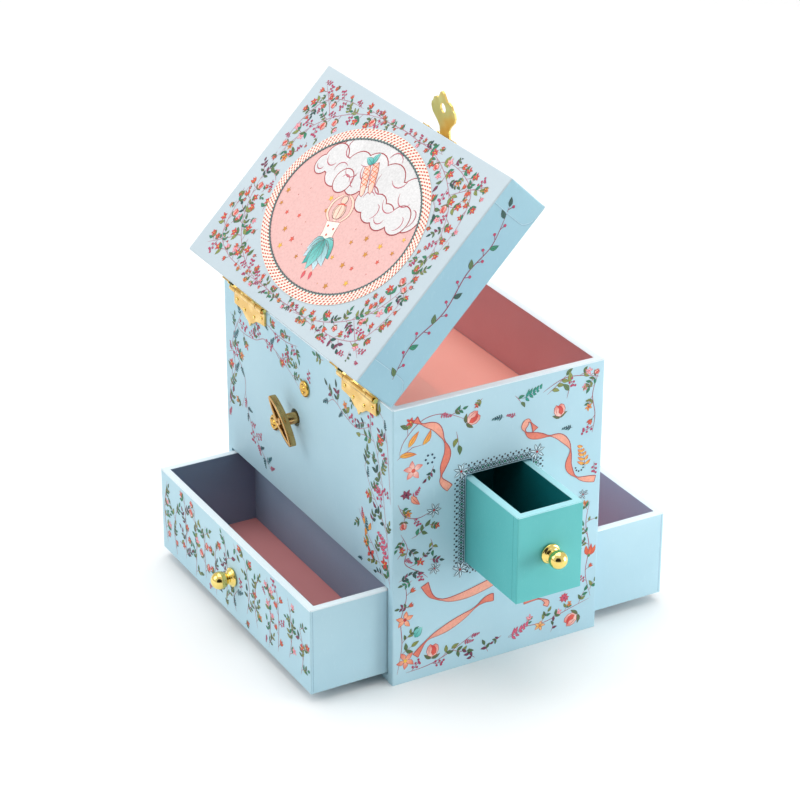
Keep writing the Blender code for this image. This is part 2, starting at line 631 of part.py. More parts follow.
def build_cylinder(brass, steel):
    """The pinned cylinder on its vertical arbor, which ends above the platform in the dancer's socket."""
    columns, rows = 24, NOTES
    bm = bmesh.new()
    rings = []
    heights = [CYLINDER_LOW + (CYLINDER_HIGH - CYLINDER_LOW) * k / rows for k in range(rows + 1)]
    bore = ARBOR_R + GAP
    section = [(CYLINDER_R, z) for z in heights] + [(bore, CYLINDER_HIGH), (bore, CYLINDER_LOW)]
    for i in range(columns):
        angle = 2 * math.pi * i / columns
        rings.append([bm.verts.new((r * math.cos(angle), r * math.sin(angle), z)) for r, z in section])
    cells = []
    for i in range(columns):
        here, there = rings[i], rings[(i + 1) % columns]
        for k in range(len(section)):
            m = (k + 1) % len(section)
            face = bm.faces.new((here[k], there[k], there[m], here[m]))
            if k < rows and (5 * k + 7 * i) % 11 == 0:
                cells.append(face)
    bmesh.ops.recalc_face_normals(bm, faces=bm.faces)
    bmesh.ops.inset_individual(bm, faces=cells, thickness=0.36)
    pins = bmesh.ops.extrude_discrete_faces(bm, faces=cells)["faces"]
    for pin in pins:
        outward = pin.calc_center_median().copy()
        outward.z = 0
        bmesh.ops.translate(bm, vec=outward.normalized() * 0.5, verts=pin.verts[:])
    at = (KEY_X, ARBOR_Y, 0)
    carrier = empty_at("cylinder_axis", at)
    solid("pin_cylinder", mesh_of(bm), brass, at, parent=carrier)

    great_phase = math.atan2(GOVERNOR_Y - ARBOR_Y, GOVERNOR_X - KEY_X)
    great = gear_outline(GREAT_WHEEL_TEETH, GREAT_WHEEL_R, 0.6, 0.75, 0.40, great_phase)
    great_wheel = prism(great, GREAT_WHEEL_LOW, GREAT_WHEEL_LOW + WHEEL_THICK)
    leaves = gear_outline(PINION_TEETH, PINION_PITCH_R, 0.5, 1.1, 0.36, math.pi / 2)
    pinion = prism(leaves, PINION_LOW, PINION_LOW + 3.0)
    collar = [(ARBOR_R, ARBOR_LOW_BEARING + 0.4), (ARBOR_R, ARBOR_LOW_BEARING + 2.0), (1.9, 54.3), (1.9, 55.2)]
    collar += [(ARBOR_R, 55.2), (ARBOR_R, PLATFORM_TOP + 0.5), (2.2, PLATFORM_TOP + 0.5)]
    collar += [(2.2, PLATFORM_TOP + 2.0), (0.9, PLATFORM_TOP + 2.2), (0.9, PLATFORM_TOP + 4.0)]
    arbor = combined(revolve(collar, 14), [great_wheel, pinion])
    solid("cylinder_arbor", arbor, steel, at, parent=carrier)
    return carrier


def build_comb(steel):
    """Eighteen steel tines reaching from their clamped root to the cylinder's pins."""
    root_x, slot_x, tip_x = 31.0, 24.2, KEY_X + CYLINDER_R + 0.8
    pitch = (CYLINDER_HIGH - CYLINDER_LOW) / NOTES
    slot = 0.32
    outline = [(root_x, CYLINDER_LOW), (root_x, CYLINDER_HIGH)]
    for k in reversed(range(NOTES)):
        low = CYLINDER_LOW + k * pitch + slot / 2
        high = CYLINDER_LOW + (k + 1) * pitch - slot / 2
        outline += [(slot_x, high), (tip_x, high), (tip_x, low), (slot_x, low)]
    comb = moved(prism(outline, 0, 1.0), (0, COMB_Y + 1.0, 0), FACE_FRONT)
    solid("comb", comb, steel)


def build_governor(brass, steel):
    """The governor wheel and, driven by it, the worm with its fly, which sets the tune's speed."""
    meet = math.atan2(GOVERNOR_Y - ARBOR_Y, GOVERNOR_X - KEY_X) + math.pi
    phase = meet + math.pi / SMALL_PINION_TEETH
    leaves = gear_outline(SMALL_PINION_TEETH, SMALL_PINION_R, 0.55, 0.8, 0.40, phase)
    pinion = prism(leaves, GREAT_WHEEL_LOW - 0.2, GREAT_WHEEL_LOW + WHEEL_THICK + 0.2)
    lean = worm_lead() / (2 * math.pi * WORM_R) * WHEEL_THICK / WORM_WHEEL_R
    teeth = gear_outline(WORM_WHEEL_TEETH, WORM_WHEEL_R, 0.35, 0.55, 0.34, lean / 2)
    wheel_low = WORM_Z - WHEEL_THICK / 2
    wheel = prism(teeth, wheel_low, wheel_low + WHEEL_THICK, twist=-lean)
    spindle = rod(PIVOT_R, GOVERNOR_LOW_BEARING + 0.3, ARBOR_HIGH_BEARING + 1.4, 10)
    shoulder = rod(1.3, GOVERNOR_LOW_BEARING + 1.9, ARBOR_HIGH_BEARING - 0.3, 10)
    whole = combined(spindle, [shoulder, wheel, pinion])
    solid("governor_wheel", whole, brass, (GOVERNOR_X, GOVERNOR_Y, 0))

    rows = [(PIVOT_R, WORM_BACK), (PIVOT_R, WORM_BACK + 4.4)]
    thread_low, thread_high, count = -4.0, 4.0, 34
    for k in range(count + 1):
        rows.append((WORM_R, thread_low + (thread_high - thread_low) * k / count))
    rows += [(PIVOT_R, thread_high + 0.2), (PIVOT_R, FLY_NEAR + 4.2)]
    worm = revolve(rows, 24, worm_radius)
    blade = cuboid((-FLY_R, -0.35, FLY_NEAR), (FLY_R, 0.35, FLY_NEAR + 3.6))
    fly = combined(worm, [blade])
    solid("governor_fly", fly, steel, (WORM_X, GOVERNOR_Y, WORM_Z), FACE_FRONT)


def worm_lead():
    return WORM_STARTS * 2 * math.pi * WORM_WHEEL_R / WORM_WHEEL_TEETH


def worm_radius(radius, height, angle):
    """The worm's surface: three thread starts between its root and its crest; its pivots stay round."""
    if radius < WORM_R:
        return radius
    turns = height / worm_lead() + angle / (2 * math.pi) + 0.5
    place = (turns * WORM_STARTS) % 1.0
    crest, slope = 0.10, 0.20
    distance = abs(place - 0.5) * 2
    rise = 1 - min(max((distance - crest) / (2 * slope), 0.0), 1.0)
    return WORM_ROOT_R + (WORM_CREST_R - WORM_ROOT_R) * rise


def build_movement_screws(brass):
    """Round-headed screws through the back wall into the bedplate."""
    head = [(SCREW_SHANK_R, -BOARD - GAP - BEDPLATE_THICK + 0.2), (SCREW_SHANK_R, GAP), (3.6, GAP), (3.6, 0.8)]
    head += [(3.1, 1.4), (1.9, 1.9)]
    for side, (x, z) in zip(("upper", "lower"), MOVEMENT_SCREWS):
        mesh = revolve(head, 18)
        solid(f"movement_screw_{side}", mesh, brass, (x, HALF_D, z), FACE_BACK, smooth=True)


def build_stop_rod(steel):
    """A bent wire: the closing lid presses its top, and its foot comes down beside the fly."""
    bend = 1.2
    foot_x, foot_y = WORM_X + 1.9, 21.5
    corner_z = STOP_ARM_Z
    points = [
        (STOP_ROD_X, STOP_ROD_Y, STOP_ROD_TOP),
        (STOP_ROD_X, STOP_ROD_Y, corner_z + bend),
        (STOP_ROD_X, STOP_ROD_Y - 0.35, corner_z + 0.35),
        (STOP_ROD_X, STOP_ROD_Y - bend, corner_z),
        (STOP_ROD_X, foot_y + bend, corner_z),
        (STOP_ROD_X - 0.35, foot_y + 0.35, corner_z),
        (STOP_ROD_X - bend, foot_y, corner_z),
        (foot_x, foot_y, corner_z),
    ]
    curve = bpy.data.curves.new("stop_rod", "CURVE")
    curve.dimensions = "3D"
    curve.bevel_depth = STOP_ROD_R * MM
    curve.bevel_resolution = 2
    curve.use_fill_caps = True
    spline = curve.splines.new("POLY")
    spline.points.add(len(points) - 1)
    origin = Vector((STOP_ROD_X, STOP_ROD_Y, corner_z))
    for slot, point in zip(spline.points, points):
        slot.co = (*((Vector(point) - origin) * MM), 1.0)
    curve.materials.append(steel)
    obj = bpy.data.objects.new("stop_rod", curve)
    obj.location = origin * MM
    bpy.context.scene.collection.objects.link(obj)


# ---- dancer ---------------------------------------------------------------------------------------------


def build_dancer(steel, ivory, carrier):
    """The dancer on her spring: a turned figure on one pointed leg, with a tutu and raised arms."""
    turns, per_turn, sides = 5, 12, 6
    wire_r, coil_r = 0.32, 1.6
    low = PLATFORM_TOP + 2.6
    rise = 4.4
    bm = bmesh.new()
    rings = []
    for i in range(turns * per_turn + 1):
        angle = 2 * math.pi * i / per_turn
        middle = Vector((coil_r * math.cos(angle), coil_r * math.sin(angle), rise * i / (turns * per_turn)))
        out = Vector((math.cos(angle), math.sin(angle), 0))
        ring = []
        for k in range(sides):
            around = 2 * math.pi * k / sides
            ring.append(bm.verts.new(middle + wire_r * (math.cos(around) * out + Vector((0, 0, math.sin(around))))))
        rings.append(ring)
    for lower, upper in zip(rings, rings[1:]):
        for k in range(sides):
            m = (k + 1) % sides
            bm.faces.new((lower[k], lower[m], upper[m], upper[k]))
    bm.faces.new(rings[0])
    bm.faces.new(rings[-1])
    at = (KEY_X, ARBOR_Y, low)
    solid("dancer_spring", mesh_of(bm), steel, at, parent=carrier, smooth=True)

    body = [(1.9, 0), (1.9, 0.6), (0.7, 1.0), (0.8, 4.0), (1.1, 7.0), (1.5, 9.6), (1.7, 11.0), (1.2, 12.6)]
    body += [(1.7, 14.6), (1.5, 15.8), (0.6, 16.3), (0.6, 16.9), (1.3, 17.7), (1.5, 18.8), (1.0, 19.8)]
    body += [(0.7, 20.1), (0.8, 20.8), (0.3, 21.2)]
    skirt = [(1.0, 10.2), (5.4, 9.7), (6.0, 10.1), (3.2, 11.4), (1.3, 12.2)]
    arms = turned_ring(lambda i: [(3.9 + c, s) for c, s in circle(0, 0, 0.5, 6)], 22)
    arms.transform(Matrix.Rotation(math.pi / 2, 4, "X"))
    arms.transform(Matrix.Diagonal((0.75, 1.0, 1.2, 1.0)))
    moved(arms, (0, 0, 19.3))
    figure = combined(revolve(body, 14), [revolve(skirt, 24), arms])
    foot = low + rise + wire_r + GAP
    solid("dancer_figure", figure, ivory, (KEY_X, ARBOR_Y, foot), parent=carrier, smooth=True)


def main():
    clear_scene()
    sky = paint("sky_paper", (0.56, 0.76, 0.84), 0.55)
    lining = paint("salmon_paper", (0.93, 0.42, 0.38), 0.6)
    teal = paint("teal_paper", (0.12, 0.50, 0.50), 0.55)
    teal_dark = paint("dark_teal_paper", (0.04, 0.20, 0.22), 0.6)
    brass = paint("polished_brass", (0.86, 0.66, 0.28), 0.22, 1.0)
    bronze = paint("aged_brass", (0.48, 0.38, 0.18), 0.35, 1.0)
    steel = paint("steel", (0.62, 0.62, 0.60), 0.3, 1.0)
    cast = paint("cast_metal", (0.55, 0.55, 0.52), 0.5, 1.0)
    glass = paint("mirror_glass", (0.85, 0.88, 0.90), 0.05, 1.0)
    ivory = paint("ivory_plastic", (0.90, 0.82, 0.76), 0.4)

    build_case(sky, lining)
    lid_hinge = empty_at("lid_hinge", (0, HINGE_Y, HINGE_Z))
    build_lid(sky, glass, lid_hinge)
    build_hinges(brass, lid_hinge)
    hasp_axis = build_clasp(brass, lid_hinge)
    build_drawers(sky, teal, teal_dark, brass)
    build_bedplate(cast)
    build_spring_barrel(brass)
    build_winding_key(bronze)
    cylinder = build_cylinder(brass, steel)
    build_comb(steel)
    build_governor(brass, steel)
    build_movement_screws(brass)
    build_stop_rod(steel)
    build_dancer(steel, ivory, cylinder)
    lid_hinge.rotation_euler = (-math.radians(LID_OPEN_DEG), 0, 0)
    hasp_axis.rotation_euler = (-math.radians(HASP_OPEN_DEG), 0, 0)


main()
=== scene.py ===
"""Looks of the ballerina jewellery box: the printed paper and linings over its boards, the turned and stamped
brass, the musical movement's metal, the painted dancer, and the studio it is shown in.

Pieces are drawn in millimetres with the lid shut, then put in place. Prints are drawn flat on their own
panel, u to the right and v up as someone facing the panel sees it."""

import json
import random
from math import atan2, copysign, cos, degrees, hypot, pi, radians, sin, tau

import bmesh
import bpy
from mathutils import Matrix, Vector


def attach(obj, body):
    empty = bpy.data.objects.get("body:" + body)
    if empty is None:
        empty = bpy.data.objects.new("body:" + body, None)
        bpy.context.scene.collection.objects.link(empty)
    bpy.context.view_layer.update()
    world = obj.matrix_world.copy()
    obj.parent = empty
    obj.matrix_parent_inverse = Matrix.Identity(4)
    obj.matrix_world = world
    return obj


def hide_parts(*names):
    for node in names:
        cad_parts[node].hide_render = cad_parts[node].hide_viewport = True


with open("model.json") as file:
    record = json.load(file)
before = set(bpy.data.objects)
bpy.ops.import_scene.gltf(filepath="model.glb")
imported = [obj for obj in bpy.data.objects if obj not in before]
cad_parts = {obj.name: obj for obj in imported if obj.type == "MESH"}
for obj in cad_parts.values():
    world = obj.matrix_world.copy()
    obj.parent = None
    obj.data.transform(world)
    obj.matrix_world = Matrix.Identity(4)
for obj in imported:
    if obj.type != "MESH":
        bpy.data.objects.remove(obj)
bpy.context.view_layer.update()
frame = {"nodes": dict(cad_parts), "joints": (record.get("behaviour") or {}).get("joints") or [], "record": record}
MM = 0.001
HERE = Matrix.Identity(4)


# ---- places from the frame ------------------------------------------------------------------------------


def limits(node, turn=HERE):
    """A CAD node's lowest and highest corner in millimetres, before the turn that opened it."""
    upright = turn.inverted()
    points = [upright @ vertex.co for vertex in frame["nodes"][node].data.vertices]
    low = Vector([min(p[i] for p in points) for i in range(3)]) / MM
    high = Vector([max(p[i] for p in points) for i in range(3)]) / MM
    return low, high


def joint(name):
    return next(j for j in frame["joints"] if j["name"] == name)


def opened(name):
    """The turn that takes a part from shut to its place at rest."""
    at = Vector(joint(name)["pos_m"])
    turn = Matrix.Rotation(-radians(joint(name)["range_deg"][0]), 4, Vector(joint(name)["axis"]))
    return Matrix.Translation(at) @ turn @ Matrix.Translation(-at)


LID_TURN = opened("lid_hinge")
LID_IN_MM = Matrix.Scale(1 / MM, 4) @ LID_TURN @ Matrix.Scale(MM, 4)
KEY_AT = Vector(joint("key_turn")["pos_m"]) / MM
ARBOR_AT = Vector(joint("cylinder_spin")["pos_m"]) / MM
SCREW_NODES = ("movement_screw_upper", "movement_screw_lower")
SCREWS = [(limits(node)[0] + limits(node)[1]) / 2 for node in SCREW_NODES]

HALF_W, HALF_D, CASE_TOP = limits("side_panel_plain")[1]
CORNERS = (-HALF_W, -HALF_D), (HALF_W, HALF_D)
INNER_X = limits("side_panel_plain")[0].x
INNER_Y = -limits("front_panel")[1].y
BOARD = HALF_W - INNER_X
BAY_TOP = limits("back_panel")[0].z
TRAY_TOP = limits("tray_floor")[1].z
PLATFORM_FRONT = limits("dancer_platform")[0].y
PLATFORM_TOP = limits("dancer_platform")[1].z
LID_LOW = limits("lid_front", LID_TURN)[0].z
LID_PLATE, LID_HIGH = (corner.z for corner in limits("lid_top", LID_TURN))
LID_BOARD = LID_HIGH - LID_PLATE
DRAWER_BOARD = limits("back_drawer_face")[1].y - limits("back_drawer_face")[0].y
KEY_HOLE_R = 3.9
SIDE_OPENING = (-15.7, 48.8, 15.7, 89.5)

# Paper on the outside of a board lies this far off it, and ends this far off
PAPER_UNDER, PAPER_OVER = 0.02, 0.13
# A lining on a wall ends this far off it; a sheet on a floor lies between these two heights over it
LINING_OVER = 0.14
SHEET_UNDER, SHEET_OVER = 0.02, 0.16
# The folded paper of a rim comes down this far over a wall's outside
RIM_BAND = 0.45
# How far the corners of the papers are rounded, and how near a lining comes to the walls round its floor
CASE_CORNER, DRAWER_CORNER, LINING_CORNER = 0.5, 0.4, 0.3
FLOOR_GAP = 0.25


# ---- materials ------------------------------------------------------------------------------------------


def colour(code):
    """A linear colour from a six-figure hexadecimal sRGB code."""
    parts = [int(code[i : i + 2], 16) / 255 for i in (0, 2, 4)]
    linear = [c / 12.92 if c <= 0.04045 else ((c + 0.055) / 1.055) ** 2.4 for c in parts]
    return (*linear, 1.0)


def grey(value):
    return (value, value, value, 1)


def feed(tree, node, inputs):
    """Each input gets a constant, or a link from another node's output."""
    for name, value in inputs.items():
        if isinstance(value, bpy.types.NodeSocket):
            tree.links.new(value, node.inputs[name])
        else:
            node.inputs[name].default_value = value


def new_node(tree, kind, inputs):
    node = tree.nodes.new("ShaderNode" + kind)
    feed(tree, node, inputs)
    return node


class Shade:
    """A node material built step by step round one Principled shader."""

    def __init__(self, name, roughness, metallic=0.0):
        self.material = bpy.data.materials.new(name)
        self.material.use_nodes = True
        self.tree = self.material.node_tree
        self.shader = self.tree.nodes["Principled BSDF"]
        self.give({"Roughness": roughness, "Metallic": metallic})
        self.place = new_node(self.tree, "TexCoord", {}).outputs["Object"]

    def give(self, inputs):
        feed(self.tree, self.shader, inputs)

    def noise(self, scale, detail=3.0, stretch=(1, 1, 1)):
        mapped = new_node(self.tree, "Mapping", {"Scale": stretch, "Vector": self.place}).outputs["Vector"]
        inputs = {"Scale": scale, "Detail": detail, "Vector": mapped}
        return new_node(self.tree, "TexNoise", inputs).outputs["Fac"]

    def cells(self, scale):
        cells = new_node(self.tree, "TexVoronoi", {"Scale": scale, "Vector": self.place})
        cells.feature = "SMOOTH_F1"
        return cells.outputs["Distance"]

    def ramp(self, factor, *stops):
        """Stops are (position, colour) pairs."""
        ramp = new_node(self.tree, "ValToRGB", {"Fac": factor})
        while len(ramp.color_ramp.elements) < len(stops):
            ramp.color_ramp.elements.new(0.5)
        for element, (position, shade) in zip(ramp.color_ramp.elements, stops):
            element.position = position
            element.color = shade
        return ramp.outputs["Color"]

    def mix(self, factor, first, second, mode="MIX"):
        mix = self.tree.nodes.new("ShaderNodeMix")
        mix.data_type = "RGBA"
        mix.blend_type = mode
        feed(self.tree, mix, {0: factor, 6: first, 7: second})
        return mix.outputs[2]

    def rough(self, factor, low, high):
        """Roughness from low to high as the factor goes from 0.3 to 0.7."""
        reach = {"From Min": 0.3, "From Max": 0.7, "To Min": low, "To Max": high, "Value": factor}
        self.give({"Roughness": new_node(self.tree, "MapRange", reach).outputs["Result"]})

    def bump(self, height, strength, distance):
        bump = new_node(self.tree, "Bump", {"Strength": strength, "Distance": distance, "Height": height})
        self.give({"Normal": bump.outputs["Normal"]})

    def base(self, socket):
        self.give({"Base Color": socket})


def paper(name, light, deep, fleck):
    """Printed paper glued over board: a soft uneven wash of ink, fine fibres and a slight sheen."""
    s = Shade(name, PAPER_ROUGHNESS)
    s.give({"Specular IOR Level": PAPER_GLOSS})
    wash = s.ramp(s.noise(16.0, 4.0), (0.34, colour(deep)), (0.66, colour(light)))
    fibres = s.ramp(s.noise(900.0, 3.0, (1.0, 1.0, 0.4)), (0.60, grey(0)), (0.78, grey(1)))
    s.base(s.mix(fibres, wash, s.mix(0.15, wash, colour(fleck))))
    grain = s.noise(1500.0, 4.0)
    s.rough(grain, PAPER_ROUGHNESS - 0.06, PAPER_ROUGHNESS + 0.08)
    s.bump(grain, 0.22, 0.00006)
    return s.material


def printing_ink(name):
    """Ink in the colours the print carries, with the broken tone of a watercolour."""
    s = Shade(name, 0.48)
    s.give({"Specular IOR Level": PAPER_GLOSS})
    ink = new_node(s.tree, "Attribute", {})
    ink.attribute_name = "ink"
    tone = s.ramp(s.noise(1100.0), (0.30, grey(0.88)), (0.70, grey(1.08)))
    s.base(s.mix(0.8, ink.outputs["Color"], tone, "MULTIPLY"))
    s.bump(s.noise(1500.0, 4.0), 0.15, 0.00005)
    return s.material


def metal(name, light, deep, roughness, wear, grain_scale=220.0):
    """A metal with faint clouding, fine handling marks and uneven polish."""
    s = Shade(name, roughness, 1.0)
    s.base(s.ramp(s.noise(grain_scale, 4.0), (0.3, colour(deep)), (0.7, colour(light))))
    marks = s.noise(2400.0, 5.0, (1.0, 0.25, 1.0))
    s.rough(marks, roughness - wear / 2, roughness + wear)
    s.bump(marks, 0.12, 0.00003)
    return s.material


def stamped(name, light, deep, dullest=0.22, metalness=1.0):
    """Thin brass with a pressed pattern of small bosses and creases."""
    s = Shade(name, 0.2, metalness)
    bosses = s.cells(260.0)
    s.base(s.ramp(bosses, (0.05, colour(light)), (0.6, colour(deep))))
    s.rough(s.noise(900.0), dullest - 0.12, dullest)
    s.bump(bosses, 0.16, 0.0003)
    return s.material


def enamel(name, light, deep, roughness=0.3):
    """Brushed-on gloss paint over moulded plastic."""
    s = Shade(name, roughness)
    s.base(s.ramp(s.noise(260.0), (0.35, colour(deep)), (0.65, colour(light))))
    s.give({"Coat Weight": 0.3})
    s.bump(s.noise(700.0, 2.0), 0.1, 0.00005)
    return s.material


def silvered_glass():
    s = Shade("silvered_glass", 0.03, 1.0)
    haze = s.noise(60.0, 4.0)
    s.base(s.ramp(haze, (0.3, colour("dfe6e8")), (0.7, colour("eef3f4"))))
    s.rough(haze, 0.01, 0.05)
    return s.material


PAPER_ROUGHNESS, PAPER_GLOSS = 0.5, 0.35
MATERIALS = {"ink": printing_ink("ink"), "mirror_glass": silvered_glass()}
TONES = {
    paper: {
        "sky_paper": ("b6d8e4", "abcfdd", "d2e8f0"),
        # The lid top's paper is a paler, greyer copy of the sky paper: a painted sheen from the light above.
        "lid_top_paper": ("bfcdd4", "b8c7cf", "d4dde2"),
        "deep_sky_paper": ("9cc6d4", "93bed0", "bcdcea"),
        # Rim papers are paler copies of the wall papers: a painted highlight on rims that face up to the light.
        "rim_paper": ("e8f2f6", "dfecf2", "f2f8fa"),
        "salmon_paper": ("ffbeaf", "fdb4a5", "ffd0c4"),
        # A darker rose copy of the salmon lining, for inner walls that face away from the light: painted shade.
        "rose_paper": ("d8a6ab", "cf9ea4", "e4bcc0"),
        "dusty_rose_paper": ("f4a09e", "ea9896", "f2b2ae"),
        "slate_paper": ("90a6bc", "859bb2", "a4b2c2"),
        # A lighter copy of the slate lining for the front drawer: painted light, where more light reaches inside.
        "lilac_paper": ("c2c2d6", "b6b7cc", "c4c4d2"),
        "teal_paper": ("63c0c0", "58b6b7", "88d2d2"),
        # A paler teal for the side drawer's rim: a painted highlight.
        "teal_rim_paper": ("aee4ea", "a2dce4", "c4ecf0"),
        # A dark copy of the teal paper for the side drawer's inside: painted shade.
        "dark_teal_paper": ("0f7f84", "0a7278", "2a9296"),
    },
    metal: {
        "polished_brass": ("f6e08c", "eed072", 0.11, 0.05),
        "dark_brass": ("e2b860", "c89c48", 0.16, 0.06),
        "aged_brass": ("cca66c", "b89058", 0.2, 0.08),
        "steel": ("c8c8c4", "a8a8a6", 0.22, 0.12),
        "cast_metal": ("a4a4a0", "888884", 0.46, 0.2, 90.0),
    },
    stamped: {
        "stamped_brass": ("f6d894", "deb668"),
        "clasp_brass": ("f6de8c", "ecc86c", 0.42, 0.6),
    },
    enamel: {
        "ivory_plastic": ("f6dccb", "efcfba"),
        "tulle": ("fbd3d8", "f3b9c4", 0.55),
        "bodice": ("f2a9b6", "e798a8", 0.35),
        "hair": ("6a4028", "54301c", 0.4),
        "slipper": ("ee9aa0", "e2868e"),
    },
}
for kind, table in TONES.items():
    MATERIALS |= {name: kind(name, *tones) for name, tones in table.items()}
for part in frame["record"]["subparts"]:
    node, look = part["node"], part["material_slot"]
    if node.startswith(("hinge_left_", "hinge_right_", "clasp_")) and not node.endswith("_pin"):
        look = "clasp_brass" if node == "clasp_hasp" else "stamped_brass"
    data = frame["nodes"][node].data
    data.materials.clear()
    data.materials.append(MATERIALS[look])


# ---- shapes, in millimetres -----------------------------------------------------------------------------


def placed(name, data):
    """A new object in the scene."""
    obj = bpy.data.objects.new(name, data)
    bpy.context.scene.collection.objects.link(obj)
    return obj


def piece(name, mesh, body, look, turn=HERE, smooth=False, stands_for=()):
    """Puts a finished shape in the scene, riding on its body."""
    mesh.transform(turn @ Matrix.Scale(MM, 4))
    mesh.name = name
    mesh.materials.append(MATERIALS[look])
    if smooth:
        mesh.shade_smooth()
    obj = placed(name, mesh)
    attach(obj, body)
    if stands_for:
        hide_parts(*stands_for)


def finished(bm):
    bmesh.ops.recalc_face_normals(bm, faces=bm.faces)
    mesh = bpy.data.meshes.new("shape")
    bm.to_mesh(mesh)
    bm.free()
    return mesh


def loft(loops, ring=False):
    """A skin over loops of equal length: joined back to the first loop if ring, or else capped."""
    bm = bmesh.new()
    rows = [[bm.verts.new(p) for p in loop] for loop in loops]
    for near, far in [*zip(rows, rows[1:]), *([(rows[-1], rows[0])] if ring else [])]:
        for i in range(len(near)):
            k = (i + 1) % len(near)
            bm.faces.new((near[i], near[k], far[k], far[i]))
    if not ring:
        bm.faces.new(rows[0])
        bm.faces.new(rows[-1])
    return finished(bm)


def circle(radius, z, steps):
    return [(radius * cos(tau * i / steps), radius * sin(tau * i / steps), z) for i in range(steps)]


def lathe(profile, steps=64, ring=False):
    """A turned shape about Z from (radius, z) points, closed at both ends or, if ring, hollow."""
    return loft([circle(radius, z, steps) for radius, z in profile], ring)


def rounded(low, high, grow, z, radius):
    """A rectangle of points at height z, grown outwards, with each corner turned in five points."""
    radius = max(radius, 0.04)
    x, y = high[0] + grow - radius, high[1] + grow - radius
    x0, y0 = low[0] - grow + radius, low[1] - grow + radius
    points = []
    for start, cx, cy in ((0, x, y), (90, x0, y), (180, x0, y0), (270, x, y0)):
        for angle in (radians(start + step * 22.5) for step in range(5)):
            points.append(Vector((cx + radius * cos(angle), cy + radius * sin(angle), z)))
    return points


def wrapped(low, high, path, corner, ring=True):
    """Paper round a box: path holds how far each edge of the paper stands out, and its height."""
    return loft([rounded(low, high, grow, z, corner + grow) for grow, z in path], ring)


def slab(low, high):
    """A thin sheet with eased edges."""
    edge = 0.05
    path = [(-edge, low[2]), (0, low[2] + edge), (0, high[2] - edge), (-edge, high[2])]
    return wrapped(low, high, path, 0.2, ring=False)


def block(low, high):
    return wrapped(low, high, [(0, low[2]), (0, high[2])], 0.04, ring=False)


def swept(path, section):
    """Sweeps a section of (sideways, upwards) points round a closed flat path, upwards being Z."""
    loops = []
    for i, point in enumerate(path):
        along = (Vector(path[(i + 1) % len(path)]) - Vector(path[i - 1])).normalized()
        side = Vector((along.y, -along.x, 0))
        loops.append([Vector(point) + side * a + Vector((0, 0, b)) for a, b in section])
    return loft(loops, ring=True)


def moved(mesh, where):
    mesh.transform(where)
    return mesh


def turned(mesh, angle, axis, at):
    """A shape drawn along Z, turned about an axis and then moved to its place."""
    return moved(mesh, Matrix.Translation(at) @ Matrix.Rotation(radians(angle), 4, axis))


def joined(meshes):
    bm = bmesh.new()
    for mesh in meshes:
        bm.from_mesh(mesh)
    return finished(bm)


def cut(mesh, cutters):
    """The mesh with every cutter's space taken out of it."""
    target, tool = placed("cut", mesh), placed("cut", joined(cutters))
    modifier = target.modifiers.new("cut", "BOOLEAN")
    modifier.operation = "DIFFERENCE"
    modifier.solver = "EXACT"
    modifier.object = tool
    result = bpy.data.meshes.new_from_object(target.evaluated_get(bpy.context.evaluated_depsgraph_get()))
    for obj in (target, tool):
        bpy.data.objects.remove(obj)
    return result


# ---- papers over the boards -----------------------------------------------------------------------------


def wall_path(low_z, high_z):
    """Paper on the outside of a box's walls, up to the band that its rim's paper covers."""
    top = high_z - RIM_BAND
    return [(PAPER_UNDER, low_z + 0.06), (PAPER_OVER, low_z + 0.1), (PAPER_OVER, top), (PAPER_UNDER, top)]


def rim_path(high_z, board):
    """Paper folded over a box's rim, its outer edge softly rounded, in a paler paper: a painted highlight."""
    foot = high_z - RIM_BAND + 0.01
    return [
        (PAPER_UNDER, foot), (PAPER_OVER, foot), (0.07, high_z - 0.12), (-0.12, high_z + 0.05),
        (-0.35, high_z + 0.09), (-board + 0.2, high_z + 0.09), (-board, high_z + 0.04),
        (-board, high_z + PAPER_UNDER), (PAPER_UNDER, high_z - 0.02),
    ]


def lining_path(wall, foot, top, lap=0.0):
    """Paper on the inside of a box's walls; lap is how much higher its face goes than its back."""
    near, far = wall - PAPER_UNDER, wall - LINING_OVER
    return [(near, foot), (near, top), (far, top + lap), (far, foot)]


def cover_case():
    bay = INNER_X - 0.2
    reach = HALF_D + 5
    y0, z0, y1, z1 = SIDE_OPENING
    holes = [
        block((-bay, -reach, -5), (bay, reach, BAY_TOP + 0.02)),
        block((-HALF_W - 5, y0, z0), (-HALF_W + 1.5, y1, z1)),
        turned(lathe([(KEY_HOLE_R, -3), (KEY_HOLE_R, 3)], 48), -90, "X", (KEY_AT.x, HALF_D, KEY_AT.z)),
    ]
    skin = wrapped(*CORNERS, wall_path(0, CASE_TOP), CASE_CORNER)
    piece("case_cover_paper", cut(skin, holes), "case", "sky_paper")
    # The rim's paler paper is a painted highlight.
    rim = wrapped(*CORNERS, rim_path(CASE_TOP, BOARD), CASE_CORNER)
    piece("case_rim_paper", rim, "case", "rim_paper")


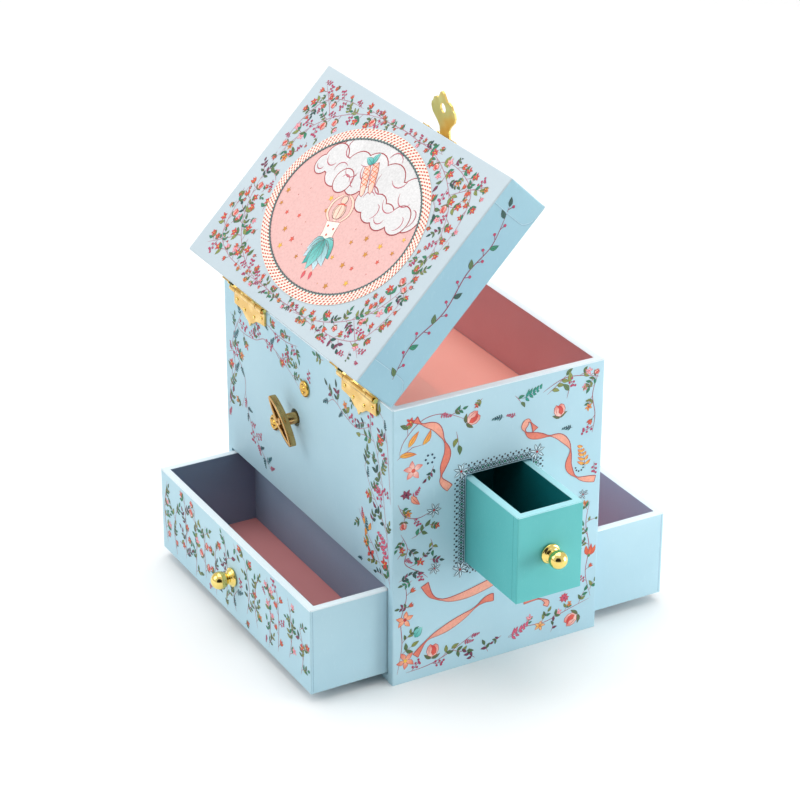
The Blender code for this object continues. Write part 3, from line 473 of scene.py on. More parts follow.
def line_case():
    """Linings of the tray and of the platform, which has an eyelet for the dancer and a hole for the rod."""
    low, high = (-INNER_X, -INNER_Y), (INNER_X, INNER_Y)
    path = lining_path(0, TRAY_TOP + 0.2, CASE_TOP - 0.05, 0.03)
    walls = wrapped(low, high, path, LINING_CORNER)
    # The tray's walls take the rose paper, the salmon lining's painted shade.
    piece("tray_wall_lining", walls, "case", "rose_paper")
    edge, back = INNER_X - FLOOR_GAP, INNER_Y - FLOOR_GAP
    front = PLATFORM_FRONT - SHEET_OVER
    corner = (-edge, -back, TRAY_TOP + SHEET_UNDER)
    floor = slab(corner, (edge, PLATFORM_FRONT - 0.05, TRAY_TOP + SHEET_OVER))
    piece("tray_floor_lining", floor, "case", "salmon_paper")
    corner = (-edge, front, TRAY_TOP + 0.2)
    riser = slab(corner, (edge, PLATFORM_FRONT - SHEET_UNDER, PLATFORM_TOP + 0.1))
    piece("platform_riser_lining", riser, "case", "salmon_paper")
    top = slab((-edge, front, PLATFORM_TOP + SHEET_UNDER), (edge, back, PLATFORM_TOP + SHEET_OVER))
    rod = [v.co / MM for v in frame["nodes"]["stop_rod"].data.vertices]
    rod_high = limits("stop_rod")[1].z
    rod_top = [p for p in rod if p.z > rod_high - 0.2]
    rod_at = [sum(p[i] for p in rod_top) / len(rod_top) for i in (0, 1)]
    holes = [
        moved(lathe([(r, -3), (r, 3)], steps), Matrix.Translation((*at, PLATFORM_TOP)))
        for r, steps, at in ((2.6, 40, ARBOR_AT.xy), (1.4, 24, rod_at))
    ]
    piece("platform_lining", cut(top, holes), "case", "salmon_paper")
    eyelet = lathe([(2.45, -0.1), (2.45, 0.28), (2.7, 0.42), (3.4, 0.3), (3.6, 0.0)], 48, ring=True)
    eyelet = moved(eyelet, Matrix.Translation((*ARBOR_AT.xy, PLATFORM_TOP + 0.18)))
    piece("dancer_eyelet", eyelet, "case", "polished_brass", smooth=True)


def cover_lid():
    fold, foot = LID_HIGH - RIM_BAND, LID_LOW - 0.09
    path = [
        (PAPER_UNDER, fold), (PAPER_UNDER, LID_LOW - PAPER_UNDER), (-LID_BOARD, LID_LOW - PAPER_UNDER),
        (-LID_BOARD, foot), (-0.2, foot), (PAPER_OVER, LID_LOW + 0.2), (PAPER_OVER, fold),
    ]
    walls = wrapped(*CORNERS, path, CASE_CORNER)
    piece("lid_side_paper", walls, "lid", "deep_sky_paper", LID_TURN)
    path = [
        (PAPER_UNDER, LID_HIGH + PAPER_UNDER), (PAPER_UNDER, fold + 0.01), (PAPER_OVER, fold + 0.01),
        (0.06, LID_HIGH - 0.1), (-0.12, LID_HIGH + 0.07), (-0.35, LID_HIGH + PAPER_OVER),
    ]
    top = wrapped(*CORNERS, path, CASE_CORNER, ring=False)
    # The top takes the paler paper, a painted sheen.
    piece("lid_top_paper", top, "lid", "lid_top_paper", LID_TURN)
    path = lining_path(-LID_BOARD, LID_LOW + 0.05, LID_PLATE - SHEET_OVER)
    walls = wrapped(*CORNERS, path, LINING_CORNER)
    # The lid's inner walls take the rose paper, the salmon lining's painted shade.
    piece("lid_wall_lining", walls, "lid", "rose_paper", LID_TURN)
    x, y = HALF_W - LID_BOARD - 0.2, HALF_D - LID_BOARD - 0.2
    ceiling = slab((-x, -y, LID_PLATE - LINING_OVER), (x, y, LID_PLATE - PAPER_UNDER))
    piece("lid_ceiling_lining", ceiling, "lid", "salmon_paper", LID_TURN)


def mount_mirror():
    """A narrow printed paper mount laid over the mirror's edge."""
    low, high = limits("mirror", LID_TURN)
    path = [
        (-2.2, low.z - 0.05), (-2.0, low.z - 0.3), (1.6, low.z - 0.3), (2.0, low.z), (2.0, high.z - 0.4),
        (0.15, high.z - 0.4), (0.15, low.z - 0.05),
    ]
    piece("mirror_mount", wrapped(low, high, path, 2.2), "lid", "deep_sky_paper", LID_TURN)


def cover_drawer(name, outer, rim, lining, floor):
    """Outer paper over a drawer's walls, underside and rim, lining on its inner walls and floor."""
    corners = [limits(f"{name}_{part}") for part in ("face", "rear", "side_left", "side_right")]
    low = Vector([min(c[0][i] for c in corners) for i in range(3)])
    high = Vector([max(c[1][i] for c in corners) for i in range(3)])
    floor_low, floor_high = limits(f"{name}_floor")
    under = slab((*floor_low.xy, floor_low.z - LINING_OVER), (*floor_high.xy, floor_low.z - PAPER_UNDER))
    bottom = floor_high.z
    path = lining_path(-DRAWER_BOARD, bottom + 0.1, high.z - 0.04)
    inset = DRAWER_BOARD + 0.2
    corner = (low.x + inset, low.y + inset, bottom + SHEET_UNDER)
    sheet = slab(corner, (high.x - inset, high.y - inset, bottom + SHEET_OVER))
    walls = wrapped(low, high, wall_path(low.z, high.z), DRAWER_CORNER)
    piece(f"{name}_cover_paper", walls, name, outer)
    # The rim's paler paper is a painted highlight.
    fold = wrapped(low, high, rim_path(high.z, DRAWER_BOARD), DRAWER_CORNER)
    piece(f"{name}_rim_paper", fold, name, rim)
    piece(f"{name}_underside_paper", under, name, outer)
    piece(f"{name}_wall_lining", wrapped(low, high, path, LINING_CORNER), name, lining)
    piece(f"{name}_floor_lining", sheet, name, floor)


# ---- brass and other hardware ---------------------------------------------------------------------------


def make_knob(drawer, turn):
    """A turned knob: stud, domed foot with a rolled lip, narrow neck, and a ball."""
    low, high = limits(f"{drawer}_face")
    out = turn @ Vector((0, 0, 1))
    at = (low + high) / 2 + out * abs((high - low).dot(out)) / 2
    profile = [
        (1.1, -3.4), (1.1, 0.3), (3.7, 0.3), (4.2, 0.45), (4.35, 0.85), (4.2, 1.25), (3.8, 1.5), (3.5, 1.6),
        (3.3, 2.1), (2.7, 2.6), (2.3, 2.75),
    ]
    ball_r, ball_at = 3.9, 6.3
    for angle in map(radians, range(-56, 89, 8)):
        profile.append((ball_r * cos(angle), ball_at + ball_r * sin(angle)))
    knob = moved(lathe(profile), Matrix.Translation(at) @ turn.to_4x4())
    name = f"{drawer}_knob"
    piece(name + "_turned", knob, drawer, "polished_brass", smooth=True, stands_for=[name])


def make_key():
    """The bow is a strip bent to a lens round its stem, which shows in the middle of it."""
    half_long, half_wide, thick, deep = 12.4, 3.2, 1.5, 3.2
    path = []
    for angle in (tau * i / 72 for i in range(72)):
        swell = 0.42 + 0.58 * abs(sin(angle))
        path.append(((half_long - thick / 2) * cos(angle), (half_wide - thick / 2) * sin(angle) * swell, 0))
    a, b, soft, worn = thick / 2, deep / 2, 0.45, 0.12
    section = [(a - soft, -b), (a - worn, -b + worn), (a, -b + soft), (a, b - soft), (a - worn, b - worn)]
    section.append((a - soft, b))
    section += [(-x, z) for x, z in reversed(section)]
    bow = turned(swept(path, section), -38.9, "Z", (0, 0, 6.4))
    tip = limits("winding_key")[1].y - KEY_AT.y
    stem = lathe([
        (1.5, tip), (1.8, tip + 0.4), (1.8, -3.4), (2.6, -3.4), (2.6, 4.7), (2.3, 5.1), (1.2, 5.3),
    ])
    key = turned(joined([bow, stem]), -90, "X", (KEY_AT.x, HALF_D, KEY_AT.z))
    key.set_sharp_from_angle(angle=radians(38))
    piece("winding_key_formed", key, "key", "aged_brass", stands_for=["winding_key"])


def make_screws():
    """Round screw heads with a rolled rim and a dished middle."""
    for node, at in zip(SCREW_NODES, SCREWS):
        tip = limits(node)[0].y - HALF_D
        profile = [
            (1.0, tip), (1.35, tip + 0.3), (1.35, 0.3), (3.4, 0.3), (3.62, 0.55), (3.6, 0.95), (3.2, 1.35),
            (2.6, 1.5), (2.1, 1.3), (1.9, 1.0), (1.5, 1.05), (1.2, 1.5), (0.6, 1.85), (0.1, 1.9),
        ]
        head = turned(lathe(profile, 48), -90, "X", (at.x, HALF_D, at.z))
        piece(f"{node}_turned", head, "case", "dark_brass", HERE, True, [node])


def nails(name, body, places, angle, turn=HERE):
    """Small domed nail heads with short shanks."""
    profile = [(0.35, -2.2), (0.4, 0.0), (0.85, 0.0), (0.8, 0.22), (0.55, 0.42), (0.05, 0.5)]
    heads = [turned(lathe(profile, 20), angle, "X", at) for at in places]
    piece(name, joined(heads), body, "polished_brass", turn, smooth=True)


def make_nails():
    """Four nails in each hinge leaf, and two in the clasp's plate."""
    leaf_face = HALF_D + 1.1
    in_leaf = ((-11.5, 6.2), (-4.5, 8.4), (4.5, 8.4), (11.5, 6.2))
    for side in ("left", "right"):
        low, high = limits(f"hinge_{side}_case_leaf")
        middle = (low.x + high.x) / 2
        in_case = [(middle + x, leaf_face, high.z - z) for x, z in in_leaf]
        nails(f"hinge_{side}_case_nails", "case", in_case, -90)
        foot = limits(f"hinge_{side}_lid_leaf", LID_TURN)[0].z
        in_lid = [(middle + x, leaf_face, foot + z) for x, z in in_leaf]
        nails(f"hinge_{side}_lid_nails", "lid", in_lid, -90, LID_TURN)
    low, high = limits("clasp_plate", LID_TURN)
    nails("clasp_plate_nails", "lid", [(x, low.y + 1.35, high.z - 6.0) for x in (-4.2, 4.2)], 90, LID_TURN)


# ---- prints on the paper --------------------------------------------------------------------------------

INK_CODES = dict(
    stem="a04a5c", twig="b07a8a", edge="6a3038", leaf_edge="3e4a38", night="27303f", grey="4c5660",
    pale="c9e2ec", olive="8f9a50", moss="5c7a4c", green="2c8a68", pine="2f5a50", navy="3a4f6c", teal="22a39c",
    aqua="8fd6d2", red="c63a3c", orange="e67a46", coral="e2604e", peach="f9bc9e", blush="f9dcd2",
    rose="dc5f7c", plum="8c3f5c", berry="c23a62", ochre="d0923a", gold="f2c04c", white="f4e8dc",
    ground="e6b7b2", ribbon="e6806a", light_ribbon="f3a891", lattice="cc4c30", beads="56706c", curl="bc5c6c",
    cloud="dedddd", brick="a43a40", seam="8fb6c8", crease="b2d4e2", teal_seam="3c9c9c", skin="f9d8c4",
    hair="f0d2be",
)
INK = {name: Vector(colour(code)[:3]) for name, code in INK_CODES.items()}
BLOOMS = {
    "red_flower": ("red", "gold", "brick", "coral"),
    "orange_flower": ("orange", "brick", "brick", "gold"),
    "pink_flower": ("blush", "rose", "rose", "rose"),
}
COMBS = {"pink_comb": ("rose", "plum"), "dark_comb": ("navy", "night", "teal")}
GREENS = ("olive", "moss", "green")
LEVEL_STEP, SHAPE_STEP, SHAPE_STEPS = 0.018, 0.001, 16
SMALLEST_FACE = 0.002
SPRIGS = """
    spray spray dark_spray berries red_flower orange_flower pink_flower pink_comb bell rose spray
    orange_flower
""".split()
GARDEN = """
    spray red_flower red_flower pink_flower orange_flower berries rose bell dark_spray red_flower berries
""".split()
LEAFY = "spray dark_spray spray dark_comb berries spray red_flower pink_comb dark_spray".split()


def panel(origin, right, up):
    """From a panel's own millimetres to the object's; the panel faces along its third axis."""
    u, v = Vector(right), Vector(up)
    return Matrix.Translation(origin) @ Matrix((u, v, u.cross(v))).transposed().to_4x4()


def smooth_path(points, per):
    """A flowing line through the points."""
    ends = [points[0], *points, points[-1]]
    path = []
    for a, b, c, d in zip(ends, ends[1:], ends[2:], ends[3:]):
        a, b, c, d = Vector(a), Vector(b), Vector(c), Vector(d)
        for t in (step / per for step in range(per)):
            point = 2 * b + (c - a) * t + (2 * a - 5 * b + 4 * c - d) * t * t + (3 * b - a - 3 * c + d) * t**3
            path.append(tuple(point / 2))
    return [*path, tuple(points[-1])]


def mirrored(points):
    return [(-u, v) for u, v in points]


def step_from(at, heading, distance):
    angle = radians(heading)
    return (at[0] + distance * cos(angle), at[1] + distance * sin(angle))


def across(path, i):
    """The direction square to a path's run at its point i."""
    run = (Vector(path[min(i + 1, len(path) - 1)]) - Vector(path[max(i - 1, 0)])).normalized()
    return Vector((-run.y, run.x))


def twice_area(points):
    """Positive where the points go round to the left."""
    return sum(a[0] * b[1] - b[0] * a[1] for a, b in zip(points, points[1:] + points[:1]))


def arc_path(at, heading, length, curl, steps):
    """A stem's line that turns by curl degrees in all, and its heading at each point."""
    path, headings = [at], [heading]
    for _ in range(steps):
        heading += curl / steps
        path.append(step_from(path[-1], heading, length / steps))
        headings.append(heading)
    return path, headings


class Print:
    """Flat inked shapes on one panel, all in one mesh that carries its own colours. What would run over the
    panel's edges ends there."""

    def __init__(self, seed, low, high, allowed=None):
        self.low, self.high = low, high
        self.allowed = allowed or (lambda u, v: True)
        self.points, self.faces, self.inks, self.taken = [], [], [], []
        self.count, self.height, self.placed = 0, 0.0, {}
        self.chance = random.Random(seed)
        self.vary, self.pick = self.chance.uniform, self.chance.choice

    def start(self, level):
        """Begins a shape, a hair above the shapes near it on the same level."""
        self.count += 1
        self.height = level * LEVEL_STEP + self.count % SHAPE_STEPS * SHAPE_STEP
        self.placed = {}

    def face(self, corners, inks):
        """A polygon with one ink, or with an ink for each corner."""
        inks = [inks] * len(corners) if isinstance(inks, Vector) else list(inks)
        points = [tuple(round(min(max(p[i], self.low[i]), self.high[i]), 3) for i in (0, 1)) for p in corners]
        kept = [i for i, p in enumerate(points) if p not in points[:i]]
        area = twice_area([points[i] for i in kept])
        if len(kept) < 3 or abs(area) < SMALLEST_FACE:
            return
        if area < 0:
            kept.reverse()
        for i in kept:
            if points[i] not in self.placed:
                self.placed[points[i]] = len(self.points)
                self.points.append((*points[i], self.height))
        self.faces.append([self.placed[points[i]] for i in kept])
        self.inks += [(*inks[i], 1.0) for i in kept]

    def shade(self, name, wander=0.10):
        """An ink by name, a little lighter or darker each time."""
        return INK[name] * (1 + self.vary(-wander, wander))

    def inside(self, at, margin):
        within = all(self.low[i] + margin < at[i] < self.high[i] - margin for i in (0, 1))
        return within and self.allowed(*at)

    def free(self, at, radius):
        return all((at[0] - x) ** 2 + (at[1] - y) ** 2 > (radius + r) ** 2 for x, y, r in self.taken)

    def take(self, at, radius):
        self.taken.append((at[0], at[1], radius))

    # single shapes

    def stroke(self, path, width, ink, level=1, taper=True):
        """A line of ink, thinning to both ends if taper."""
        self.start(level)
        ink = self.shade(ink, 0.05)
        sides = []
        for i, point in enumerate(path):
            reach = min(max(i / (len(path) - 1), 0.04), 0.96)
            swell = max(0.35, sin(pi * reach) ** 0.5) if taper else 1
            half = across(path, i) * width / 2 * swell
            sides.append((Vector(point) + half, Vector(point) - half))
        for (a, b), (c, d) in zip(sides, sides[1:]):
            self.face((a, b, d, c), ink)

    def outlined(self, outline, fill, edge, line, level, tip=None):
        """A closed shape with an inked edge, its fill shading towards tip halfway round its outline."""
        self.start(level)
        count = len(outline)
        inwards = copysign(line, twice_area(outline))
        inner = []
        for i, point in enumerate(outline):
            run = (Vector(outline[(i + 1) % count]) - Vector(outline[i - 1])).normalized()
            inner.append(Vector(point) + Vector((-run.y, run.x)) * inwards)
        edge_ink = self.shade(edge, 0.06)
        for i in range(count):
            k = (i + 1) % count
            self.face((outline[i], outline[k], inner[k], inner[i]), edge_ink)
        low, high = self.shade(fill), self.shade(tip or fill)
        self.face(inner, [low.lerp(high, 1 - abs(2 * i / count - 1)) for i in range(count)])

    def disc(self, at, radius, fill, edge=None, line=0.16, level=3, sides=10):
        outline = [step_from(at, 360 * i / sides, radius) for i in range(sides)]
        if edge:
            self.outlined(outline, fill, edge, line, level)
        else:
            self.start(level)
            self.face(outline, self.shade(fill, 0.04))

    def leaf(self, at, heading, length, width, fill, edge="edge", tip=None, rib=True, level=2, line=0.17):
        """A pointed leaf growing from at, with an inked edge and a rib."""
        self.start(level)
        c, s = step_from((0, 0), heading, 1)
        bend = self.vary(-0.12, 0.12) * length
        rows = []
        for t, swell in ((0, 0), (0.14, 0.62), (0.36, 1.0), (0.6, 0.84), (0.82, 0.44), (1, 0)):
            x, y = t * length, bend * sin(pi * t)
            half = swell * width / 2
            inner = max(half - line, half * 0.3)
            points = ((x, y + k) for k in (half, inner, -inner, -half))
            rows.append([(at[0] + x * c - y * s, at[1] + x * s + y * c) for x, y in points])
        edge_ink, low, high = self.shade(edge, 0.06), self.shade(fill), self.shade(tip or fill)
        for i, (near, far) in enumerate(zip(rows, rows[1:])):
            first, second = low.lerp(high, i / 5), low.lerp(high, (i + 1) / 5)
            self.face((near[1], near[2], far[2], far[1]), [first, first, second, second])
            self.face((near[0], near[1], far[1], far[0]), edge_ink)
            self.face((near[2], near[3], far[3], far[2]), edge_ink)
        if rib and width > 1.2:
            middle = [tuple((Vector(row[1]) + Vector(row[2])) / 2) for row in rows]
            self.stroke(middle[:5], 0.16, edge, level + 1)

    # motifs

    def flower(self, at, size, heading, petals, fill, heart, edge="edge", tip=None):
        for k in range(petals):
            turn = heading + 360 * k / petals + self.vary(-8, 8)
            length = size * self.vary(0.85, 1.1)
            self.leaf(step_from(at, turn, size * 0.1), turn, length, size * 0.58, fill, edge, tip, False)
        self.disc(at, size * 0.22, heart, edge, 0.08, 4, 8)
        self.take(at, size)

    def rose(self, at, size, heading):
        """A half-open bud on two sepals: a cup of petals folded over each other."""
        def place(points):
            c, s = step_from((0, 0), heading, 1)
            return [(at[0] + size * (x * c - y * s), at[1] + size * (x * s + y * c)) for x, y in points]

        for side in (-1, 1):
            base = step_from(at, heading, -size * 0.1)
            self.leaf(base, heading + side * 62, size * 0.8, size * 0.32, "moss", level=1)
        cup = [
            (0, 0), (0.16, 0.36), (0.5, 0.54), (0.86, 0.5), (1.12, 0.3), (1.0, 0.08), (1.14, -0.16),
            (0.98, -0.42), (0.6, -0.54), (0.2, -0.4),
        ]
        self.outlined(place(cup), "blush", "brick", 0.2, 2, "coral")
        fold = [
            (0.12, -0.1), (0.4, 0.12), (0.72, 0.06), (1.0, 0.22), (0.92, -0.12), (0.66, -0.32), (0.34, -0.34),
        ]
        self.outlined(place(fold), "coral", "brick", 0.14, 3, "red")
        self.stroke(place([(0.2, 0.26), (0.5, 0.3), (0.86, 0.36)]), 0.2, "brick", 4)
        self.take(step_from(at, heading, size * 0.5), size * 0.7)

    def berries(self, at, heading, size):
        """A twig with berries on short stalks."""
        path, headings = arc_path(at, heading, size, self.vary(-30, 30), 5)
        self.stroke(path, 0.28, "stem")
        for i in range(1, 6):
            end = step_from(path[i], headings[i] + (52 if i % 2 else -52), size * 0.24)
            self.stroke([path[i], end], 0.2, "stem", taper=False)
            self.disc(end, size * 0.07 + 0.22, "berry", "plum", 0.14)
        self.disc(path[-1], size * 0.07 + 0.24, "berry", "plum", 0.14)
        self.take(step_from(at, heading, size * 0.55), size * 0.42)

    def spray(self, at, heading, size, inks=GREENS, edge="leaf_edge", pairs=3, curl=None, bloom=None):
        """A twig with leaves in pairs and a leaf or a bloom at its tip."""
        curl = self.vary(-45, 45) if curl is None else curl
        path, headings = arc_path(at, heading, size, curl, pairs + 1)
        self.stroke(path, 0.3, "stem")
        length = size / (pairs + 1) * 1.15 + 0.6
        for i in range(1, pairs + 1):
            for side in (-1, 1):
                if self.chance.random() < 0.85:
                    turn = headings[i] + side * self.vary(38, 62)
                    self.leaf(path[i], turn, length, length * 0.5, self.pick(inks), edge)
        if bloom:
            self.flower(path[-1], size * 0.24 + 0.6, headings[-1], 5, *bloom)
        else:
            self.leaf(path[-1], headings[-1], length * 1.1, length * 0.52, self.pick(inks), edge)
        self.take(step_from(at, heading + curl / 2, size * 0.6), size * 0.45)

    def comb(self, at, heading, size, fill, edge, tip=None):
        """Slim leaves side by side across a twig."""
        path, headings = arc_path(at, heading, size, 24, 5)
        self.stroke(path, 0.26, edge)
        for i in range(1, 6):
            for side in (-1, 1):
                length = size * (0.42 - 0.05 * i + 0.06 * side)
                turn = headings[i] + side * (64 - 6 * i)
                self.leaf(path[i], turn, length, size * 0.15, fill, edge, tip, False)
        self.take(step_from(at, heading, size * 0.5), size * 0.48)

    def bell(self, at, size, heading):
        """A nodding bell flower with a curled lip."""
        for side in (-26, 26):
            self.leaf(at, heading + side, size, size * 0.42, "red", "brick", "orange", False)
        self.leaf(at, heading, size * 1.05, size * 0.36, "orange", "brick", "red", False, 3)
        self.disc(at, size * 0.14, "moss", level=4)
        self.take(step_from(at, heading, size * 0.5), size * 0.5)

    def loops_flower(self, at, size, heading):
        """A loose flower of inked loops."""
        for k in range(7):
            turn = heading + 360 * k / 7 + self.vary(-10, 10)
            foot = step_from(at, turn, size * 0.15)
            self.leaf(foot, turn, size * 0.9, size * 0.36, "pale", "night", None, False, 5, 0.24)
        self.disc(at, size * 0.16, "red", "night", 0.1, 6)
        self.take(at, size)

    def ribbon(self, points, width, twists=3):
        """A satin ribbon that narrows at each twist and then shows its other side."""
        path = smooth_path(points, 8)
        last = len(path) - 1
        sides, inks = ([], []), []
        for i, point in enumerate(path):
            facing = cos(pi * (twists * i / last + 0.12))
            half = across(path, i) * width / 2 * max(abs(facing), 0.18)
            sides[0].append(tuple(Vector(point) + half))
            sides[1].append(tuple(Vector(point) - half))
            satin = INK["ribbon" if facing > 0 else "light_ribbon"]
            inks.append(satin.lerp(INK["brick"], 0.3 * (1 - abs(facing))))
            self.take(point, width * 0.6)
        self.start(3)
        for i in range(last):
            corners = (sides[0][i], sides[1][i], sides[1][i + 1], sides[0][i + 1])
            self.face(corners, [inks[i], inks[i], inks[i + 1], inks[i + 1]])
        for side, line in zip(sides, (0.34, 0.22)):
            self.stroke(side, line, "brick", 4, False)
        for end in (0, last):
            self.stroke([sides[0][end], sides[1][end]], 0.26, "brick", 5, False)

    def sprig(self, kind, at, heading, size):
        """One of the print's sprigs, by its kind."""
        pairs = self.pick((1, 2, 2) if size < 6.0 else (2, 3, 3))
        if kind == "spray":
            self.spray(at, heading, size, pairs=pairs)
        elif kind == "dark_spray":
            self.spray(at, heading, size, ("pine", "plum", "moss"), "night", pairs)
        elif kind == "berries":
            self.berries(at, heading, size * 0.9)
        elif kind in COMBS:
            self.comb(at, heading, size * 0.8, *COMBS[kind])
        elif kind in BLOOMS:
            self.spray(at, heading, size * 0.9, pairs=self.pick((1, 1, 2)), bloom=BLOOMS[kind])
        else:
            end = step_from(at, heading, size * 0.45)
            self.stroke([at, step_from(at, heading + 8, size * 0.22), end], 0.28, "stem")
            (self.rose if kind == "rose" else self.bell)(end, size * 0.5, heading)

    def vine(self, points, kinds, gap, reach, ink="twig", spread=(30, 60)):
        """A long twig with sprigs of mixed kinds set along it, on alternate sides where there is room."""
        path = smooth_path(points, 10)
        self.stroke(path, 0.34, ink)
        walked, wanted, side = 0.0, gap * 0.4, 1
        for before, after in zip(path, path[1:]):
            run = Vector(after) - Vector(before)
            walked += run.length
            if walked < wanted:
                continue
            wanted += gap
            side = -side
            for turn in (side, -side):
                heading = degrees(atan2(run.y, run.x)) + turn * self.vary(*spread)
                size = reach * self.vary(0.75, 1.2)
                tip = step_from(after, heading, size)
                if self.inside(tip, 1.0) and self.free(step_from(after, heading, size * 0.7), size * 0.22):
                    self.sprig(self.pick(kinds), after, heading, size)
                    break

    def scatter(self, kinds, size, tries, spacing=0.36):
        """Loose sprigs wherever they may be and nothing is printed yet."""
        for _ in range(tries):
            at = tuple(self.vary(self.low[i], self.high[i]) for i in (0, 1))
            reach = size * self.vary(0.7, 1.15)
            heading = self.vary(0, 360)
            start, tip = step_from(at, heading, -reach * 0.5), step_from(at, heading, reach * 0.6)
            if self.inside(start, 1.0) and self.inside(tip, 1.0) and self.free(at, reach * spacing):
                self.sprig(self.pick(kinds), start, heading, reach)

    def finish(self, name, body, where, slot="sky_paper"):
        mesh = bpy.data.meshes.new(name)
        mesh.from_pydata(self.points, [], self.faces)
        inks = mesh.attributes.new("ink", "FLOAT_COLOR", "CORNER")
        inks.data.foreach_set("color", [value for ink in self.inks for value in ink])
        mesh.transform(where)
        piece(name, mesh, body, "ink")


PRINT_LIFT = PAPER_OVER + 0.02
EDGE_FREE = 0.6


def wall(side, foot=0.0):
    """Where a print lies on one of the box's outer walls, its heights counted from foot."""
    x, y = {"left": (-1, 0), "right": (1, 0), "front": (0, -1), "back": (0, 1)}[side]
    return panel((x * (HALF_W + PRINT_LIFT), y * (HALF_D + PRINT_LIFT), foot), (-y, x, 0), (0, 0, 1))


def case_print(seed, half, low, allowed):
    return Print(seed, (-half + EDGE_FREE, low), (half - EDGE_FREE, CASE_TOP - EDGE_FREE), allowed)


def print_left_side():
    """The side with the small drawer: lace round its opening, ribbons, and flowers along every edge."""
    def margins(u, v):
        return abs(u) > 27 or v < 14 or v > 109

    p = case_print(11, HALF_D, EDGE_FREE, margins)
    lace_edge(p, *SIDE_OPENING)
    ribbons = [
        (3.4, 3, (-39.3, 120), (-36, 117.2), (-30, 114.6), (-26.6, 109), (-24.4, 102), (-26.6, 95), (-27, 90),
         (-23.2, 85.6)),
        (3.0, 5, (16.8, 102), (13.6, 106.8), (11.4, 104), (14, 100.2), (21.5, 98), (29, 95.6), (34, 89),
         (33.4, 81), (38, 74.6), (46.6, 72)),
        (4.0, 1, (-34.5, 44), (-31, 37.5), (-24, 34), (-14, 34), (-2, 36.5)),
        (3.6, 2, (-38.6, 11.5), (-33, 17.5), (-24, 20.6), (-14, 24.6), (-6, 28.6), (-1.5, 29)),
        (2.6, 1, (13.4, 22.4), (20.5, 21.8), (24.6, 19.2), (24, 17.4)),
    ]
    for width, twists, *points in ribbons:
        p.ribbon(points, width, twists)
    roses = [((-15.5, 113), 5.6, 24), ((28.5, 105), 5.2, 95), ((-31, 8.6), 5.6, 80), ((40, 8.6), 5.8, 205)]
    for rose in roses:
        p.rose(*rose)
    p.stroke([(-47.5, 104), (-44, 106), (-40.5, 108), (-35.6, 108.2)], 0.3, "stem")
    for at, heading, size in (((-42.4, 108.4), 52, 8.0), ((-35.8, 108), 60, 7.4), ((-46.4, 105.4), -6, 8.0)):
        p.leaf(at, heading, size, 2.6, "gold", "brick", "orange")
        p.take(step_from(at, heading, size / 2), size * 0.4)
    p.comb((41.5, 78), 88, 10.5, "gold", "brick", "orange")
    p.comb((10.0, 117.5), 4, 9.0, "teal", "pine", "green")
    p.spray((22, 116.5), 30, 11, ("moss", "olive"), pairs=3, curl=10)
    blooms = [
        ((-40, 97.6), 4.4, 20, 5, "blush", "coral", "coral", "coral"),
        ((-43.2, 87.5), 2.4, 0, 6, "plum", "night"),
        ((-43.6, 30), 3.9, 10, 5, "peach", "red", "brick", "orange"),
        ((-43.4, 10.5), 4.2, 40, 5, "peach", "gold", "brick", "coral"),
        ((21.5, 8.4), 2.6, 0, 5, "gold", "orange", "brick", "peach"),
        ((33.4, 18.6), 2.3, 0, 9, "rose", "plum", "plum", "red"),
    ]
    for bloom in blooms:
        p.flower(*bloom)
    p.leaf((-41, 86.5), -50, 6.4, 2.8, "peach", "brick", "coral")
    p.leaf((-39, 20.4), 48, 5.4, 4.2, "teal", "pine", "aqua")
    p.bell((45, 36), 5.4, 80)
    p.comb((6, 7), 8, 9.5, "rose", "plum")
    p.loops_flower((-30.4, 77.4), 3.4, 0)
    p.loops_flower((-30, 50.4), 3.0, 20)
    p.loops_flower((41, 66), 2.6, 40)
    for k in range(6):
        p.disc(step_from((-32.4, 101), 60 * k, 2.0), 0.5, "navy", "night", 0.14)
        p.disc(step_from((38.8, 79.4), 180 + 40 * k, 1.9), 0.42, "night", "grey", 0.12)
    p.take((-32.4, 101), 3)
    vines = [
        ([(-46.5, 106), (-44, 112), (-36, 119), (-26, 119.5), (-16, 114.6)], 5.6, 6.6),
        ([(-47, 84), (-44, 78), (-38, 75.6), (-32, 77)], 4.6, 5.6),
        ([(-45.6, 70), (-42.6, 63), (-43.6, 56), (-36, 50), (-33, 47)], 5.0, 5.6),
        ([(-47.2, 5), (-45, 18), (-45.5, 30), (-43, 40), (-44, 50)], 5.6, 6.6),
        ([(-43, 4.6), (-32, 5.4), (-22, 8.6), (-11, 14)], 5.0, 6.2),
        ([(6, 7.6), (14, 10), (24, 9.6), (36, 12.6), (46, 15)], 6.4, 5.2),
        ([(46.5, 16), (43.6, 28), (45, 40), (43, 52), (44.6, 62)], 5.6, 5.8),
        ([(47, 122), (44, 112), (45.5, 102), (44.4, 94)], 4.6, 5.6),
        ([(20, 118), (30, 122), (40, 121), (47, 119)], 5.2, 5.2),
    ]
    for points, gap, reach in vines:
        p.vine(points, SPRIGS, gap, reach, "stem")
    p.spray((-20.4, 110.2), -72, 6.4, ("moss", "olive", "moss"), pairs=1)
    p.spray((31.5, 112.6), 62, 7.0, ("olive", "moss", "olive"), pairs=1)
    p.spray((-40.6, 67.0), 4, 7.4, ("moss", "olive", "green"), pairs=2)
    p.scatter(LEAFY, 5.4, 260, 0.32)
    p.finish("print_left_side", "case", wall("left"))


